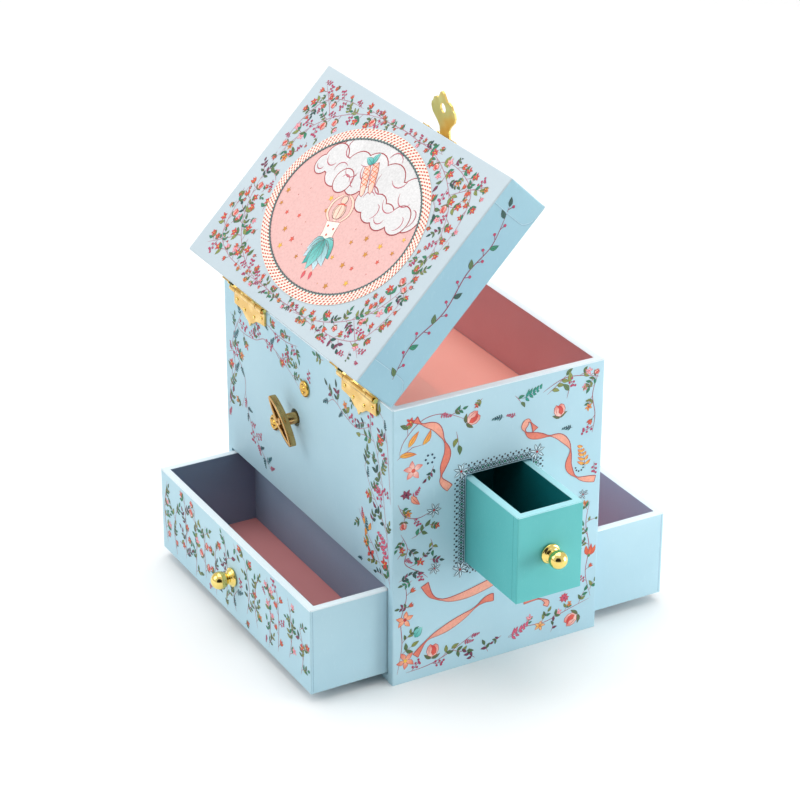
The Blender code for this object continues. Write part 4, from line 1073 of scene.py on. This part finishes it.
def lace_edge(p, x0, z0, x1, z1):
    """A band of crochet round an opening: a cord, crossed loops with dots between, picots, corner flowers."""
    corners = [(x0, z0), (x1, z0), (x1, z1), (x0, z1)]
    for (ax, ay), (bx, by) in zip(corners, corners[1:] + corners[:1]):
        length = hypot(bx - ax, by - ay)
        along = ((bx - ax) / length, (by - ay) / length)

        def at(s, r):
            return (ax + along[0] * s + along[1] * r, ay + along[1] * s - along[0] * r)

        p.stroke([at(-0.6, 0.5), at(length + 0.6, 0.5)], 0.34, "night", 2, False)
        count = round(length / 2.6)
        half = length / count / 2
        for i in range(count):
            s = (2 * i + 1) * half
            for lean in (-0.75, 0.75):
                p.stroke([at(s - half * lean, 0.7), at(s + half * lean, 2.9)], 0.32, "night", 2, False)
            p.stroke([at(s - half, 2.7), at(s, 3.5), at(s + half, 2.7)], 0.24, "grey", 3, False)
            p.disc(at(s + half, 1.8), 0.6, "green" if i % 3 else "pine", "night", 0.16, level=4, sides=8)
            p.disc(at(s, 4.1), 0.52, "night", level=2, sides=7)
            p.disc(at(s + half, 5.0), 0.42, "grey", level=2, sides=6)
            p.take(at(s, 2.5), 2.8)
    for x, z in corners:
        p.loops_flower((x + copysign(2.2, x), z + copysign(2.2, z - (z0 + z1) / 2)), 3.8, 10)


def print_back():
    """The back: twigs down both edges and under the hinges, leaving the middle round the key clear."""
    def edges(u, v):
        return u > 50 - 20 * max(0.0, (72 - v) / 27) or u < -56 - 8 * sin(v / 9) or v > 104

    p = case_print(23, HALF_W, BAY_TOP + EDGE_FREE, edges)
    p.take((-KEY_AT.x, KEY_AT.z), 9)
    for at in SCREWS:
        p.take((-at.x, at.z), 5)
    stems = [
        ([(73, 45), (71.5, 60), (69, 76), (66, 92), (60, 106), (52, 112)], 4.6, 9.5),
        ([(69, 46), (62, 56), (54, 62), (47, 70)], 5.0, 7.0),
        ([(72, 66), (65, 76), (57, 84), (52, 92)], 5.0, 7.0),
        ([(73.5, 84), (72, 98), (70.5, 110), (67, 120)], 4.8, 6.0),
        ([(58, 112), (46, 106), (36, 107), (26, 110), (20, 106)], 4.6, 7.0),
        ([(-73.5, 58), (-71, 76), (-66, 86), (-68, 98), (-62, 110), (-56, 118)], 5.2, 7.6),
        ([(-72, 92), (-66, 94), (-58, 88), (-56, 80), (-60, 70)], 5.4, 6.6),
        ([(-70, 112), (-60, 107), (-46, 108), (-36, 112), (-24, 110), (-12, 106), (-4, 102)], 5.4, 7.6),
        ([(-40, 121), (-28, 119), (-16, 119), (-6, 121)], 5.0, 5.6),
    ]
    for points, gap, reach in stems:
        p.vine(points, (*LEAFY, "red_flower", "berries", "orange_flower"), gap, reach)
    p.allowed = lambda u, v: True
    p.vine([(-56, 78), (-52, 66), (-44, 58), (-33, 51)], ("pink_comb", "berries", "dark_comb"), 3.4, 6.0)
    p.allowed = edges
    for at, heading, size in (((52, 65), 100, 5.0), ((55, 64), 62, 4.6), ((53, 64), 262, 4.2)):
        p.leaf(at, heading, size, 2.2, "gold", "brick", "orange")
    p.flower((57, 54), 3.2, 45, 4, "red", "night", "edge", "coral")
    p.scatter(LEAFY, 6.0, 90)
    p.finish("print_back", "case", wall("back"))


def print_right_side():
    """The plain side: one loose garland round the panel with roses at the corners, and two ribbons."""
    p = case_print(37, HALF_D, EDGE_FREE, lambda u, v: abs(u) > 31 or v < 22 or v > 102)
    for x, z, turn in ((-36, 14, 40), (36, 14, 140), (-36, 112, -40), (36, 112, 220)):
        p.rose((x, z), 6.4, turn)
    side = [(38, 18), (43, 40), (39, 64), (43, 88), (38, 108), (20, 116), (0, 112)]
    foot = [(38, 18), (20, 9), (0, 14)]
    for half in (side, mirrored(side), foot, mirrored(foot)):
        p.vine(half, SPRIGS, 5.4, 7.0)
    p.ribbon([(-24, 40), (-16, 34), (-6, 36), (2, 30), (12, 31), (20, 26)], 3.6)
    p.ribbon([(22, 92), (14, 98), (4, 95), (-6, 101), (-16, 99)], 3.4, 2)
    p.scatter(LEAFY, 5.8, 120)
    p.finish("print_right_side", "case", wall("right"))


def print_front():
    """The front above its drawer: a garland under the clasp and sprays up both edges."""
    p = case_print(41, HALF_W, BAY_TOP + EDGE_FREE, lambda u, v: abs(u) > 50 or v > 84)
    p.take((0, 116), 10)
    half = [(70, 48), (67, 70), (70, 92), (64, 112), (48, 119), (30, 114), (14, 106), (0, 100)]
    for line in (half, mirrored(half)):
        p.vine(line, SPRIGS, 5.0, 7.6)
    for at, turn in (((0, 95), -90), ((-56, 60), 60), ((56, 60), 120)):
        p.rose(at, 6.5, turn)
    p.ribbon([(-30, 98), (-22, 90), (-12, 92), (-4, 86), (4, 86), (12, 92), (22, 90), (30, 98)], 3.6, 5)
    p.scatter(LEAFY, 5.8, 90)
    p.finish("print_front", "case", wall("front"))


def print_drawer(name, seed, out):
    """A drawer front covered with upright stems, as if growing from its lower edge."""
    low, high = limits(f"{name}_face")
    p = Print(seed, (low.x + EDGE_FREE, low.z + EDGE_FREE), (high.x - EDGE_FREE, high.z - 1.5))
    middle = (low.z + high.z) / 2
    p.take((0, middle), 4.8)
    u = low.x + 5
    bunches = (
        ("spray", "red_flower", "dark_spray"), ("berries", "pink_comb", "bell"),
        ("dark_comb", "orange_flower", "spray"), ("rose", "spray", "pink_flower"),
    )
    while u < high.x - 4:
        foot = low.z + p.vary(1.0, 8.0)
        top = min(foot + p.vary(22, 34), high.z - 3.5)
        if abs(u) < 7:
            top = middle - 5
        sway = p.vary(-3, 3)
        stem = [(u, foot), (u + sway, (foot + top) / 2), (u - sway * 0.4, top)]
        p.vine(stem, p.pick(bunches), 4.8, 6.0, "stem", (28, 50))
        u += p.vary(8.0, 10.5)
    p.scatter(("spray", "berries", "dark_spray", "red_flower", "pink_comb"), 5.0, 60)
    where = panel((0, (high.y if out > 0 else low.y) + out * PRINT_LIFT, 0), (-out, 0, 0), (0, 0, 1))
    p.finish(f"print_{name}", name, where)


OVAL_AT = (1.5, 0.4)
OVAL = (52.8, 39.4)
RING_WIDE = 4.8
DASHES = 132


def on_oval(turn, inset=0.0):
    x, y = OVAL[0] - inset, OVAL[1] - inset
    return (OVAL_AT[0] + x * cos(radians(turn)), OVAL_AT[1] + y * sin(radians(turn)))


def off_oval(u, v, gap):
    return ((u - OVAL_AT[0]) / (OVAL[0] + gap)) ** 2 + ((v - OVAL_AT[1]) / (OVAL[1] + gap)) ** 2 > 1


def print_medallion(p):
    """An oval picture: a dancer seen from behind under clouds, in a braided ring with a beaded inner line."""
    turns = [360 * i / DASHES for i in range(DASHES)]
    pitch = 360 / DASHES
    p.start(0)
    p.face([on_oval(t, RING_WIDE * 0.6) for t in turns], INK["ground"])
    clouds = [
        (-33, 13, 4.5), (-28, 18, 7), (-20, 25, 9), (-8, 28, 9.5), (6, 29, 8.5), (19, 27, 9), (30, 21, 9),
        (37, 15, 7.5), (-21, 14, 7), (-12, 19, 8), (-2, 21, 9), (12, 20, 10), (24, 16, 9.5), (33, 11, 6.5),
        (-14, 12, 5.5), (-6, 14, 5.5), (7, 11, 6), (15, 9.5, 6.5), (23, 8.5, 6),
    ]
    for level, (low, high) in enumerate(((22, 40), (13, 22), (0, 13))):
        for x, y, r in (cloud for cloud in clouds if low <= cloud[1] < high):
            p.disc((x, y), r + 0.5, "brick", level=1 + 2 * level, sides=32)
            p.disc((x, y), r, "cloud", level=2 + 2 * level, sides=32)
    for x, y, r in clouds:
        first = p.vary(0, 360)
        p.stroke([step_from((x, y), first + 20 * k, r * (0.74 - 0.05 * k)) for k in range(8)], 0.5, "curl", 7)
    for t0, t1 in zip(turns, turns[1:] + [360]):
        p.start(8)
        p.face((on_oval(t0), on_oval(t1), on_oval(t1, RING_WIDE), on_oval(t0, RING_WIDE)), INK["white"])
    for t in turns:
        for row in range(4):
            first = t + pitch * 0.5 * (row % 2)
            near, far = 0.18 + row * 1.12, 0.94 + row * 1.12
            p.start(9)
            dash = [(0, near), (0.44, near), (0.70, far), (0.26, far)]
            p.face([on_oval(first + pitch * step, inset) for step, inset in dash], p.shade("lattice", 0.12))
        p.disc(on_oval(t, RING_WIDE), 0.68, "beads", level=10, sides=7)
        p.disc(on_oval(t + pitch / 2, RING_WIDE + 0.3), 0.5, "grey", level=10, sides=7)
    small_dancer(p)
    slippers(p)
    for _ in range(150):
        at = (p.vary(-46, 46), p.vary(-34, 14))
        near_cloud = any(hypot(at[0] - x, at[1] - y) < r + 2 for x, y, r in clouds)
        if off_oval(*at, -8) or near_cloud or not p.free(at, 2.4):
            continue
        size = p.pick((0.4, 1.3, 1.7))
        star = [step_from(at, 90 + 36 * k, size if k % 2 == 0 else size * 0.45) for k in range(10)]
        p.outlined(star, p.pick(("gold", "coral", "ochre")), "brick", 0.12, 2)
        p.take(at, 3.0)


def small_dancer(p):
    """A dancer from behind with raised arms: hair in a bun, cream bodice and a teal skirt of petals."""
    lean, grown = Matrix.Rotation(radians(17), 2), 1.32

    def at(x, y):
        return tuple(Vector((0.0, -9.0)) + lean @ Vector((x, y)) * grown)

    down = -90 + 17
    for side in (-1, 1):
        bends = ((2.0, 3.6), (5.2, 6.8), (4.6, 11), (1.2, 13.6))
        arm = smooth_path([at(side * x, y) for x, y in bends], 5)
        p.stroke(arm, 1.9, "brick", 2)
        p.stroke(arm, 1.4, "skin", 3)
        p.stroke([at(side * 1.1, -9), at(side * 1.5, -14.6)], 1.6, "skin", 2)
        p.leaf(at(side * 1.5, -13.6), down + side * 6, 4.2, 2.0, "coral", "brick", "rose", False)
    bodice = [(-3.3, 4), (3.3, 4), (2.9, 0), (3.1, -3), (-3.1, -3), (-2.9, 0)]
    p.outlined([at(x, y) for x, y in bodice], "white", "brick", 0.24, 3)
    for x, y in ((-1.6, 2.3), (1.5, 1.4), (-0.4, -0.8)):
        p.disc(at(x, y), 0.6, "coral", "brick", 0.14, 5, 6)
    for turn, length in ((56, 9.6), (42, 12), (27, 14), (10, 15)):
        for heading in (down - turn, down + turn):
            ink, tip = p.pick((("teal", "aqua"), ("teal", "pale"), ("aqua", "teal")))
            p.leaf(at(0, -2.2), heading, length, 7.4, ink, "edge", tip, True, 4, 0.24)
    p.disc(at(0, 4.8), 1.0, "skin", level=3)
    p.disc(at(0, 7.6), 3.8, "hair", "edge", 0.26, 4, 20)
    p.disc(at(0, 11.6), 2.1, "hair", "edge", 0.22, 5, 14)
    p.stroke([at(-2.2, 9.8), at(0, 10.3), at(2.2, 9.8)], 0.8, "coral", 6)
    for x in (-2.0, 0.0, 2.0):
        p.stroke([at(x * 0.4, 10.4), at(x * 1.1, 8.0), at(x * 0.8, 5.0)], 0.3, "brick", 6)
    for y in (-15, -9, -3, 3, 9):
        p.take(at(0, y), 6)


def slippers(p):
    """A pair of satin slippers hanging by crossed ribbons."""
    lean = Matrix.Rotation(radians(38), 2)

    def at(x, y):
        return tuple(Vector((0.0, 18.5)) + lean @ Vector((x, y)))

    for x in (-2.3, 2.3):
        shoe = [
            (-1.7, -2), (-1.9, 3), (-1.5, 7), (1.5, 7), (1.9, 3), (1.7, -2), (1.2, -7), (0, -8.4), (-1.2, -7),
        ]
        p.outlined([at(x + a * 1.15, b) for a, b in shoe], "blush", "brick", 0.36, 8, "peach")
        for k in range(4):
            for side in (-1, 1):
                lace = [at(x + side * 1.6, -3.4 + 2.5 * k), at(x - side * 1.6, -0.9 + 2.5 * k)]
                p.stroke(lace, 0.95, "orange" if side > 0 else "lattice", 9)
    for side in (-1, 1):
        p.leaf(at(0, 7), 128 + side * 40, 6.0, 3.4, "teal", "pine", "aqua", True, 9)
    p.take(at(0, 0), 8)


def print_lid():
    """The lid's top: the oval picture, with flowers filling the corners and thin garlands along it."""
    half_u, half_v = HALF_W - 4.6, HALF_D - 3.4
    p = Print(53, (-half_u, -half_v), (half_u, half_v), lambda u, v: off_oval(u, v, 1.2))
    arch = [(14, 43.2), (30, 40.4), (44, 34.5), (55, 26), (62, 14), (64.5, 2)]
    outer = [(34, 42), (48, 41), (61, 35.5), (66.5, 22), (66.5, 8)]
    spur = [(50, 31), (57, 36), (66.5, 42)]
    edge = [(30, 42.8), (14, 42.2), (0, 42.8), (-14, 42.2), (-30, 42.8)]
    for flip_u, flip_v in ((-1, -1), (-1, 0.99), (1, -1), (1, 0.99)):
        for points, gap, reach in ((arch, 3.2, 6.0), (outer, 3.4, 5.4), (spur, 2.8, 5.2)):
            p.vine([(flip_u * u, flip_v * v) for u, v in points], GARDEN, gap, reach)
    for side in (-1, 1):
        p.vine([(u, side * v) for u, v in edge], GARDEN, 2.0, 2.9)
    p.scatter(GARDEN, 5.0, 600, 0.38)
    p.scatter(GARDEN, 3.4, 800, 0.38)
    where = LID_IN_MM @ panel((0, 0, LID_HIGH + PRINT_LIFT), (-1, 0, 0), (0, -1, 0))
    p.finish("print_lid_flowers", "lid", where)
    picture = Print(59, (-half_u, -half_v), (half_u, half_v))
    print_medallion(picture)
    picture.finish("print_lid_medallion", "lid", where)


def print_lid_sides():
    """A berried twig on each side of the lid, and the folds where the paper laps at the corners."""
    tall = LID_HIGH - LID_LOW
    for seed, name, half in ((61, "left", HALF_D), (62, "right", HALF_D), (63, "front", HALF_W)):
        p = Print(seed, (-half, 0.3), (half, tall - 0.6))
        twigs = [[
            (9 - half, 0.38), (-0.5 * half, 0.52), (-0.15 * half, 0.38), (0.2 * half, 0.5),
            (0.5 * half, 0.44), (half - 9, 0.66),
        ]]
        if name == "front":
            short = [(half - 10, 0.6), (46, 0.45), (30, 0.6), (16, 0.45)]
            twigs = [mirrored(short), short]
        for stem in twigs:
            path = smooth_path([(u, tall * v) for u, v in stem], 8)
            p.stroke(path, 0.5, "plum")
            for i in range(1, len(path) - 1, 2):
                side = 1 if i % 4 == 1 else -1
                run = degrees(atan2(path[i + 1][1] - path[i][1], path[i + 1][0] - path[i][0]))
                if i % 6 == 1:
                    p.leaf(path[i], run + side * 40, 4.4, 2.3, p.pick(("green", "pine", "moss")), "night")
                else:
                    end = step_from(path[i], run + side * p.vary(30, 60), 2.6)
                    p.stroke([path[i], end], 0.3, "plum", taper=False)
                    p.disc(end, 0.7, "berry", "plum", 0.16)
            p.leaf(path[-1], 30, 4.2, 2.0, "pine", "night")
        for side in (-1, 1):
            lap = half - 11.5
            fold = [(lap, tall - 0.6), (lap, 5.5), (lap + 1.6, 2.2), (lap + 4.6, 0.6), (half, 0.4)]
            fold = smooth_path([(side * u, v) for u, v in fold], 4)
            p.stroke(fold, 0.3, "seam", 1, False)
            p.stroke([(u + side * 0.3, v + 0.2) for u, v in fold], 0.24, "crease", 1, False)
        p.finish(f"print_lid_{name}", "lid", LID_IN_MM @ wall(name, LID_LOW))


def print_seams():
    """The joint that shows through the paper beside each drawer's front board."""
    def seam(drawer, word, seed, u, where, ink="seam", slot="sky_paper"):
        low, high = limits(f"{drawer}_face")
        p = Print(seed, (-200, low.z), (200, high.z))
        p.stroke([(u, low.z + 0.8), (u, high.z - 0.8)], 0.26, ink, 0, False)
        p.finish(f"{drawer}_seam_{word}", drawer, where, slot)

    for drawer, out in (("back_drawer", 1), ("front_drawer", -1)):
        low, high = limits(f"{drawer}_face")
        y = (high.y if out > 0 else low.y) - out * 1.0
        for side, word in ((-1, "left"), (1, "right")):
            where = panel((side * (high.x + PRINT_LIFT), 0, 0), (0, side, 0), (0, 0, 1))
            seam(drawer, word, 71, side * y, where)
    low, high = limits("side_drawer_face")
    for side, word, y in ((-1, "front", low.y), (1, "back", high.y)):
        where = panel((low.x, y + side * PRINT_LIFT, 0), (-side, 0, 0), (0, 0, 1))
        seam("side_drawer", word, 72, -side * (DRAWER_BOARD + 0.15), where, "teal_seam", "teal_paper")


# ---- the dancer -----------------------------------------------------------------------------------------


def limb(points, radii):
    """A round limb that swells and tapers along its points, closed at both ends."""
    points = [Vector(p) for p in points]
    side = Vector((0, 1, 0))
    loops = []
    for i, point in enumerate(points):
        along = (points[min(i + 1, len(points) - 1)] - points[max(i - 1, 0)]).normalized()
        first = side.cross(along).normalized()
        second = along.cross(first)
        loops.append([point + radii[i] * (first * c + second * s) for c, s, _ in circle(1, 0, 12)])
    return loft(loops)


def ball(at, radius, squash=(1, 1, 1), steps=16):
    angles = [radians(angle) for angle in range(-84, 85, 12)]
    mesh = lathe([(radius * cos(angle), radius * sin(angle)) for angle in angles], steps)
    return moved(mesh, Matrix.Translation(at) @ Matrix.Diagonal((*squash, 1)))


def ruffle(radius, low, droop, wave, phase):
    """One layer of a tutu: a thin disc of tulle that sinks and waves towards its edge."""
    steps, folds, thick = 96, 16, 0.10
    stations = [radius * k / 8 for k in range(2, 9)]
    loops = []
    for top, rings in ((0, stations), (thick, stations[::-1])):
        for r in rings:
            loop = []
            for i in range(steps):
                angle = tau * i / steps
                reach = (r / radius) ** 2
                height = low + top - droop * reach + wave * reach * sin(folds * angle + phase)
                out = r * (1 + 0.03 * reach * sin(folds * angle / 2 + phase))
                loop.append((out * cos(angle), out * sin(angle), height))
            loops.append(loop)
    return loft(loops, ring=True)


def make_dancer():
    """A moulded dancer on one pointed foot, arms raised in a ring, in a layered tutu; her face is plain."""
    foot = limits("dancer_figure")[0].z
    stand = Matrix.Translation((*ARBOR_AT.xy, foot)) @ Matrix.Rotation(pi / 2, 4, "Z")

    def part(name, meshes, look):
        mesh = moved(joined(meshes), stand)
        piece(name, mesh, "cylinder", look, smooth=True, stands_for=("dancer_figure",))

    standing_leg = limb(
        [(0, 0, 1.6), (0.05, 0, 3.2), (0.1, -0.05, 5.0), (0.05, 0, 5.6), (0.15, 0, 7.6), (0.3, 0, 9.6)],
        [0.36, 0.52, 0.62, 0.56, 0.78, 0.95],
    )
    bent_leg = limb(
        [(0.35, 0, 9.4), (1.4, -1.5, 8.2), (2.2, -2.6, 6.6), (1.5, -1.6, 5.8), (0.75, -0.55, 5.2)],
        [0.9, 0.78, 0.62, 0.52, 0.38],
    )
    bends = [(0, 1.0, 15.9), (0, 2.6, 16.9), (-0.1, 3.4, 18.8), (-0.3, 2.6, 20.6), (-0.5, 0.7, 21.4)]
    arms = [limb([(x, side * y, z) for x, y, z in bends], [0.48, 0.42, 0.38, 0.32, 0.26]) for side in (-1, 1)]
    foot_disc = lathe([(1.5, 0.0), (1.8, 0.06), (1.9, 0.2), (1.9, 0.42), (1.75, 0.56), (0.6, 0.66)], 28)
    neck = limb([(0, 0, 15.8), (0, 0, 16.8), (0, 0, 17.8)], [0.75, 0.46, 0.46])
    nose = ball((-1.42, 0, 18.75), 0.16, steps=8)
    head = ball((0, 0, 18.8), 1.45, (0.98, 0.9, 1.08), 24)
    part("dancer_body", [foot_disc, standing_leg, bent_leg, *arms, neck, head, nose], "ivory_plastic")
    torso = [
        (0.9, 10.0), (1.15, 10.6), (0.98, 11.8), (0.92, 12.6), (1.15, 13.8), (1.32, 14.8), (1.2, 15.6),
        (0.6, 16.0),
    ]
    sash = [(1.02, 12.2), (1.14, 12.3), (1.14, 12.9), (1.02, 13.0)]
    broad = Matrix.Diagonal((0.85, 1.12, 1, 1))
    part("dancer_bodice", [moved(lathe(profile, 28), broad) for profile in (torso, sash)], "bodice")
    layers = [
        (5.4, 9.9, 1.3, 0.16, 0.0), (5.9, 10.25, 0.9, 0.18, 1.2), (6.0, 10.6, 0.5, 0.20, 2.4),
        (4.6, 10.95, 0.1, 0.16, 3.6),
    ]
    part("dancer_tutu", [ruffle(*layer) for layer in layers], "tulle")
    cap = ball((0.22, 0, 19.05), 1.5, (0.95, 0.96, 1.0), 24)
    bun = ball((0.6, 0, 20.5), 0.72)
    brows = [ball((-1.26, side * 0.55, 19.02), 0.13, (0.6, 1.2, 0.8), 8) for side in (-1, 1)]
    part("dancer_hair", [cap, bun, *brows], "hair")
    band = lathe([(0.5, -0.12), (0.66, -0.1), (0.66, 0.1), (0.5, 0.12)], 20)
    band = moved(band, Matrix.Translation((0.5, 0, 19.98)))
    mouth = ball((-1.36, 0, 18.3), 0.14, (0.5, 1.5, 0.6), 8)
    shoes = [
        limb([(0, 0, 0.0), (0, 0, 0.7), (0, 0, 1.5), (0.02, 0, 2.0)], [0.34, 0.46, 0.44, 0.42]),
        limb([(0.95, -0.85, 5.4), (0.5, -0.3, 4.8), (0.2, 0.1, 4.2)], [0.42, 0.42, 0.2]),
    ]
    part("dancer_slippers", [*shoes, band, mouth], "slipper")


# ---- studio ---------------------------------------------------------------------------------------------

CAMERA_AT = (-0.9052, 0.5139, 0.5976)
CAMERA_AZIMUTH, CAMERA_ELEVATION, CAMERA_ROLL = 240.60, 26.03, 0.16
CAMERA_LENS = 122.36
WORLD_STRENGTH, PATCH_STRENGTH = 0.785, 0.03
PATCH_ELEVATION, PATCH_FROM, PATCH_TO = 14.0, 0.82, 0.86
LIGHTS_AIM = (0.0, 0.0, 0.08)
FLOOR_HALF = 3.0


def look_axes(azimuth, elevation, roll):
    """The camera's own axes, seen from that azimuth and elevation."""
    a, e, r = (radians(v) for v in (azimuth, elevation, roll))
    back = Vector((sin(a) * cos(e), -cos(a) * cos(e), sin(e)))
    right = Vector((0, 0, 1)).cross(back).normalized()
    up = back.cross(right)
    return Matrix.Rotation(r, 3, back) @ Matrix((right, up, back)).transposed()


def place_camera():
    camera = placed("camera", bpy.data.cameras.new("camera"))
    axes = look_axes(CAMERA_AZIMUTH, CAMERA_ELEVATION, CAMERA_ROLL)
    camera.matrix_world = Matrix.Translation(CAMERA_AT) @ axes.to_4x4()
    camera.data.lens = CAMERA_LENS
    camera.data.sensor_width = 36.0
    camera.data.clip_start = 0.05
    bpy.context.scene.camera = camera


def softbox(name, at, size, power):
    """A soft light that faces the object."""
    light = bpy.data.lights.new(name, "AREA")
    light.shape = "RECTANGLE"
    light.size = light.size_y = size
    light.energy = power
    away = Vector(at) - Vector(LIGHTS_AIM)
    facing = away.to_track_quat("Z", "Y").to_matrix().to_4x4()
    placed(name, light).matrix_world = Matrix.Translation(at) @ facing


def white_room():
    """An even white surround, with a dark patch behind the camera as in a studio."""
    world = bpy.data.worlds.new("studio")
    bpy.context.scene.world = world
    world.use_nodes = True
    tree = world.node_tree
    towards = new_node(tree, "VectorMath", {})
    towards.operation = "DOT_PRODUCT"
    patch_at = look_axes(CAMERA_AZIMUTH, PATCH_ELEVATION, 0.0).col[2]
    feed(tree, towards, {0: new_node(tree, "TexCoord", {}).outputs["Generated"], 1: patch_at})
    shade = new_node(tree, "MapRange", {
        "From Min": PATCH_FROM, "From Max": PATCH_TO, "To Min": WORLD_STRENGTH, "To Max": PATCH_STRENGTH,
        "Value": towards.outputs["Value"],
    })
    shade.interpolation_type = "SMOOTHSTEP"
    feed(tree, tree.nodes["Background"], {"Color": grey(1.0), "Strength": shade.outputs["Result"]})


def lay_floor():
    s = Shade("studio_floor", 0.6)
    s.give({"Specular IOR Level": 0.2})
    s.base(s.ramp(s.noise(3.0), (0.3, grey(0.90)), (0.7, grey(0.92))))
    mesh = bpy.data.meshes.new("studio_floor")
    corners = [(x * FLOOR_HALF, y * FLOOR_HALF, 0) for x, y in ((-1, -1), (1, -1), (1, 1), (-1, 1))]
    mesh.from_pydata(corners, [], [(0, 1, 2, 3)])
    mesh.materials.append(s.material)
    placed("studio_floor", mesh)


def light_studio():
    softbox("softbox_top", (0.15, -0.1, 1.5), 1.3, 12.0)
    softbox("softbox_left", (0.45, 1.25, 1.0), 0.9, 7.0)
    softbox("softbox_right", (-0.36, -0.46, 0.10), 0.3, 2.0)
    white_room()
    bpy.context.scene.view_settings.view_transform = "Standard"


# ---- everything together --------------------------------------------------------------------------------


place_camera()
cover_case()
line_case()
cover_lid()
mount_mirror()
# Rims take the paler rim papers, a painted highlight.
cover_drawer("back_drawer", "sky_paper", "rim_paper", "slate_paper", "dusty_rose_paper")
# The front drawer's lighter lining is painted light; its paper is the slate of the back drawer.
cover_drawer("front_drawer", "sky_paper", "rim_paper", "lilac_paper", "dusty_rose_paper")
# The side drawer's inside takes the dark teal, a painted shade of its teal paper.
cover_drawer("side_drawer", "teal_paper", "teal_rim_paper", "dark_teal_paper", "dark_teal_paper")
make_knob("back_drawer", Matrix.Rotation(-pi / 2, 3, "X"))
make_knob("front_drawer", Matrix.Rotation(pi / 2, 3, "X"))
make_knob("side_drawer", Matrix.Rotation(-pi / 2, 3, "Y"))
make_key()
print_left_side()
print_right_side()
print_back()
print_front()
print_drawer("back_drawer", 83, 1)
print_drawer("front_drawer", 89, -1)
print_lid()
print_lid_sides()
print_seams()
make_dancer()
make_screws()
make_nails()
lay_floor()
light_studio()
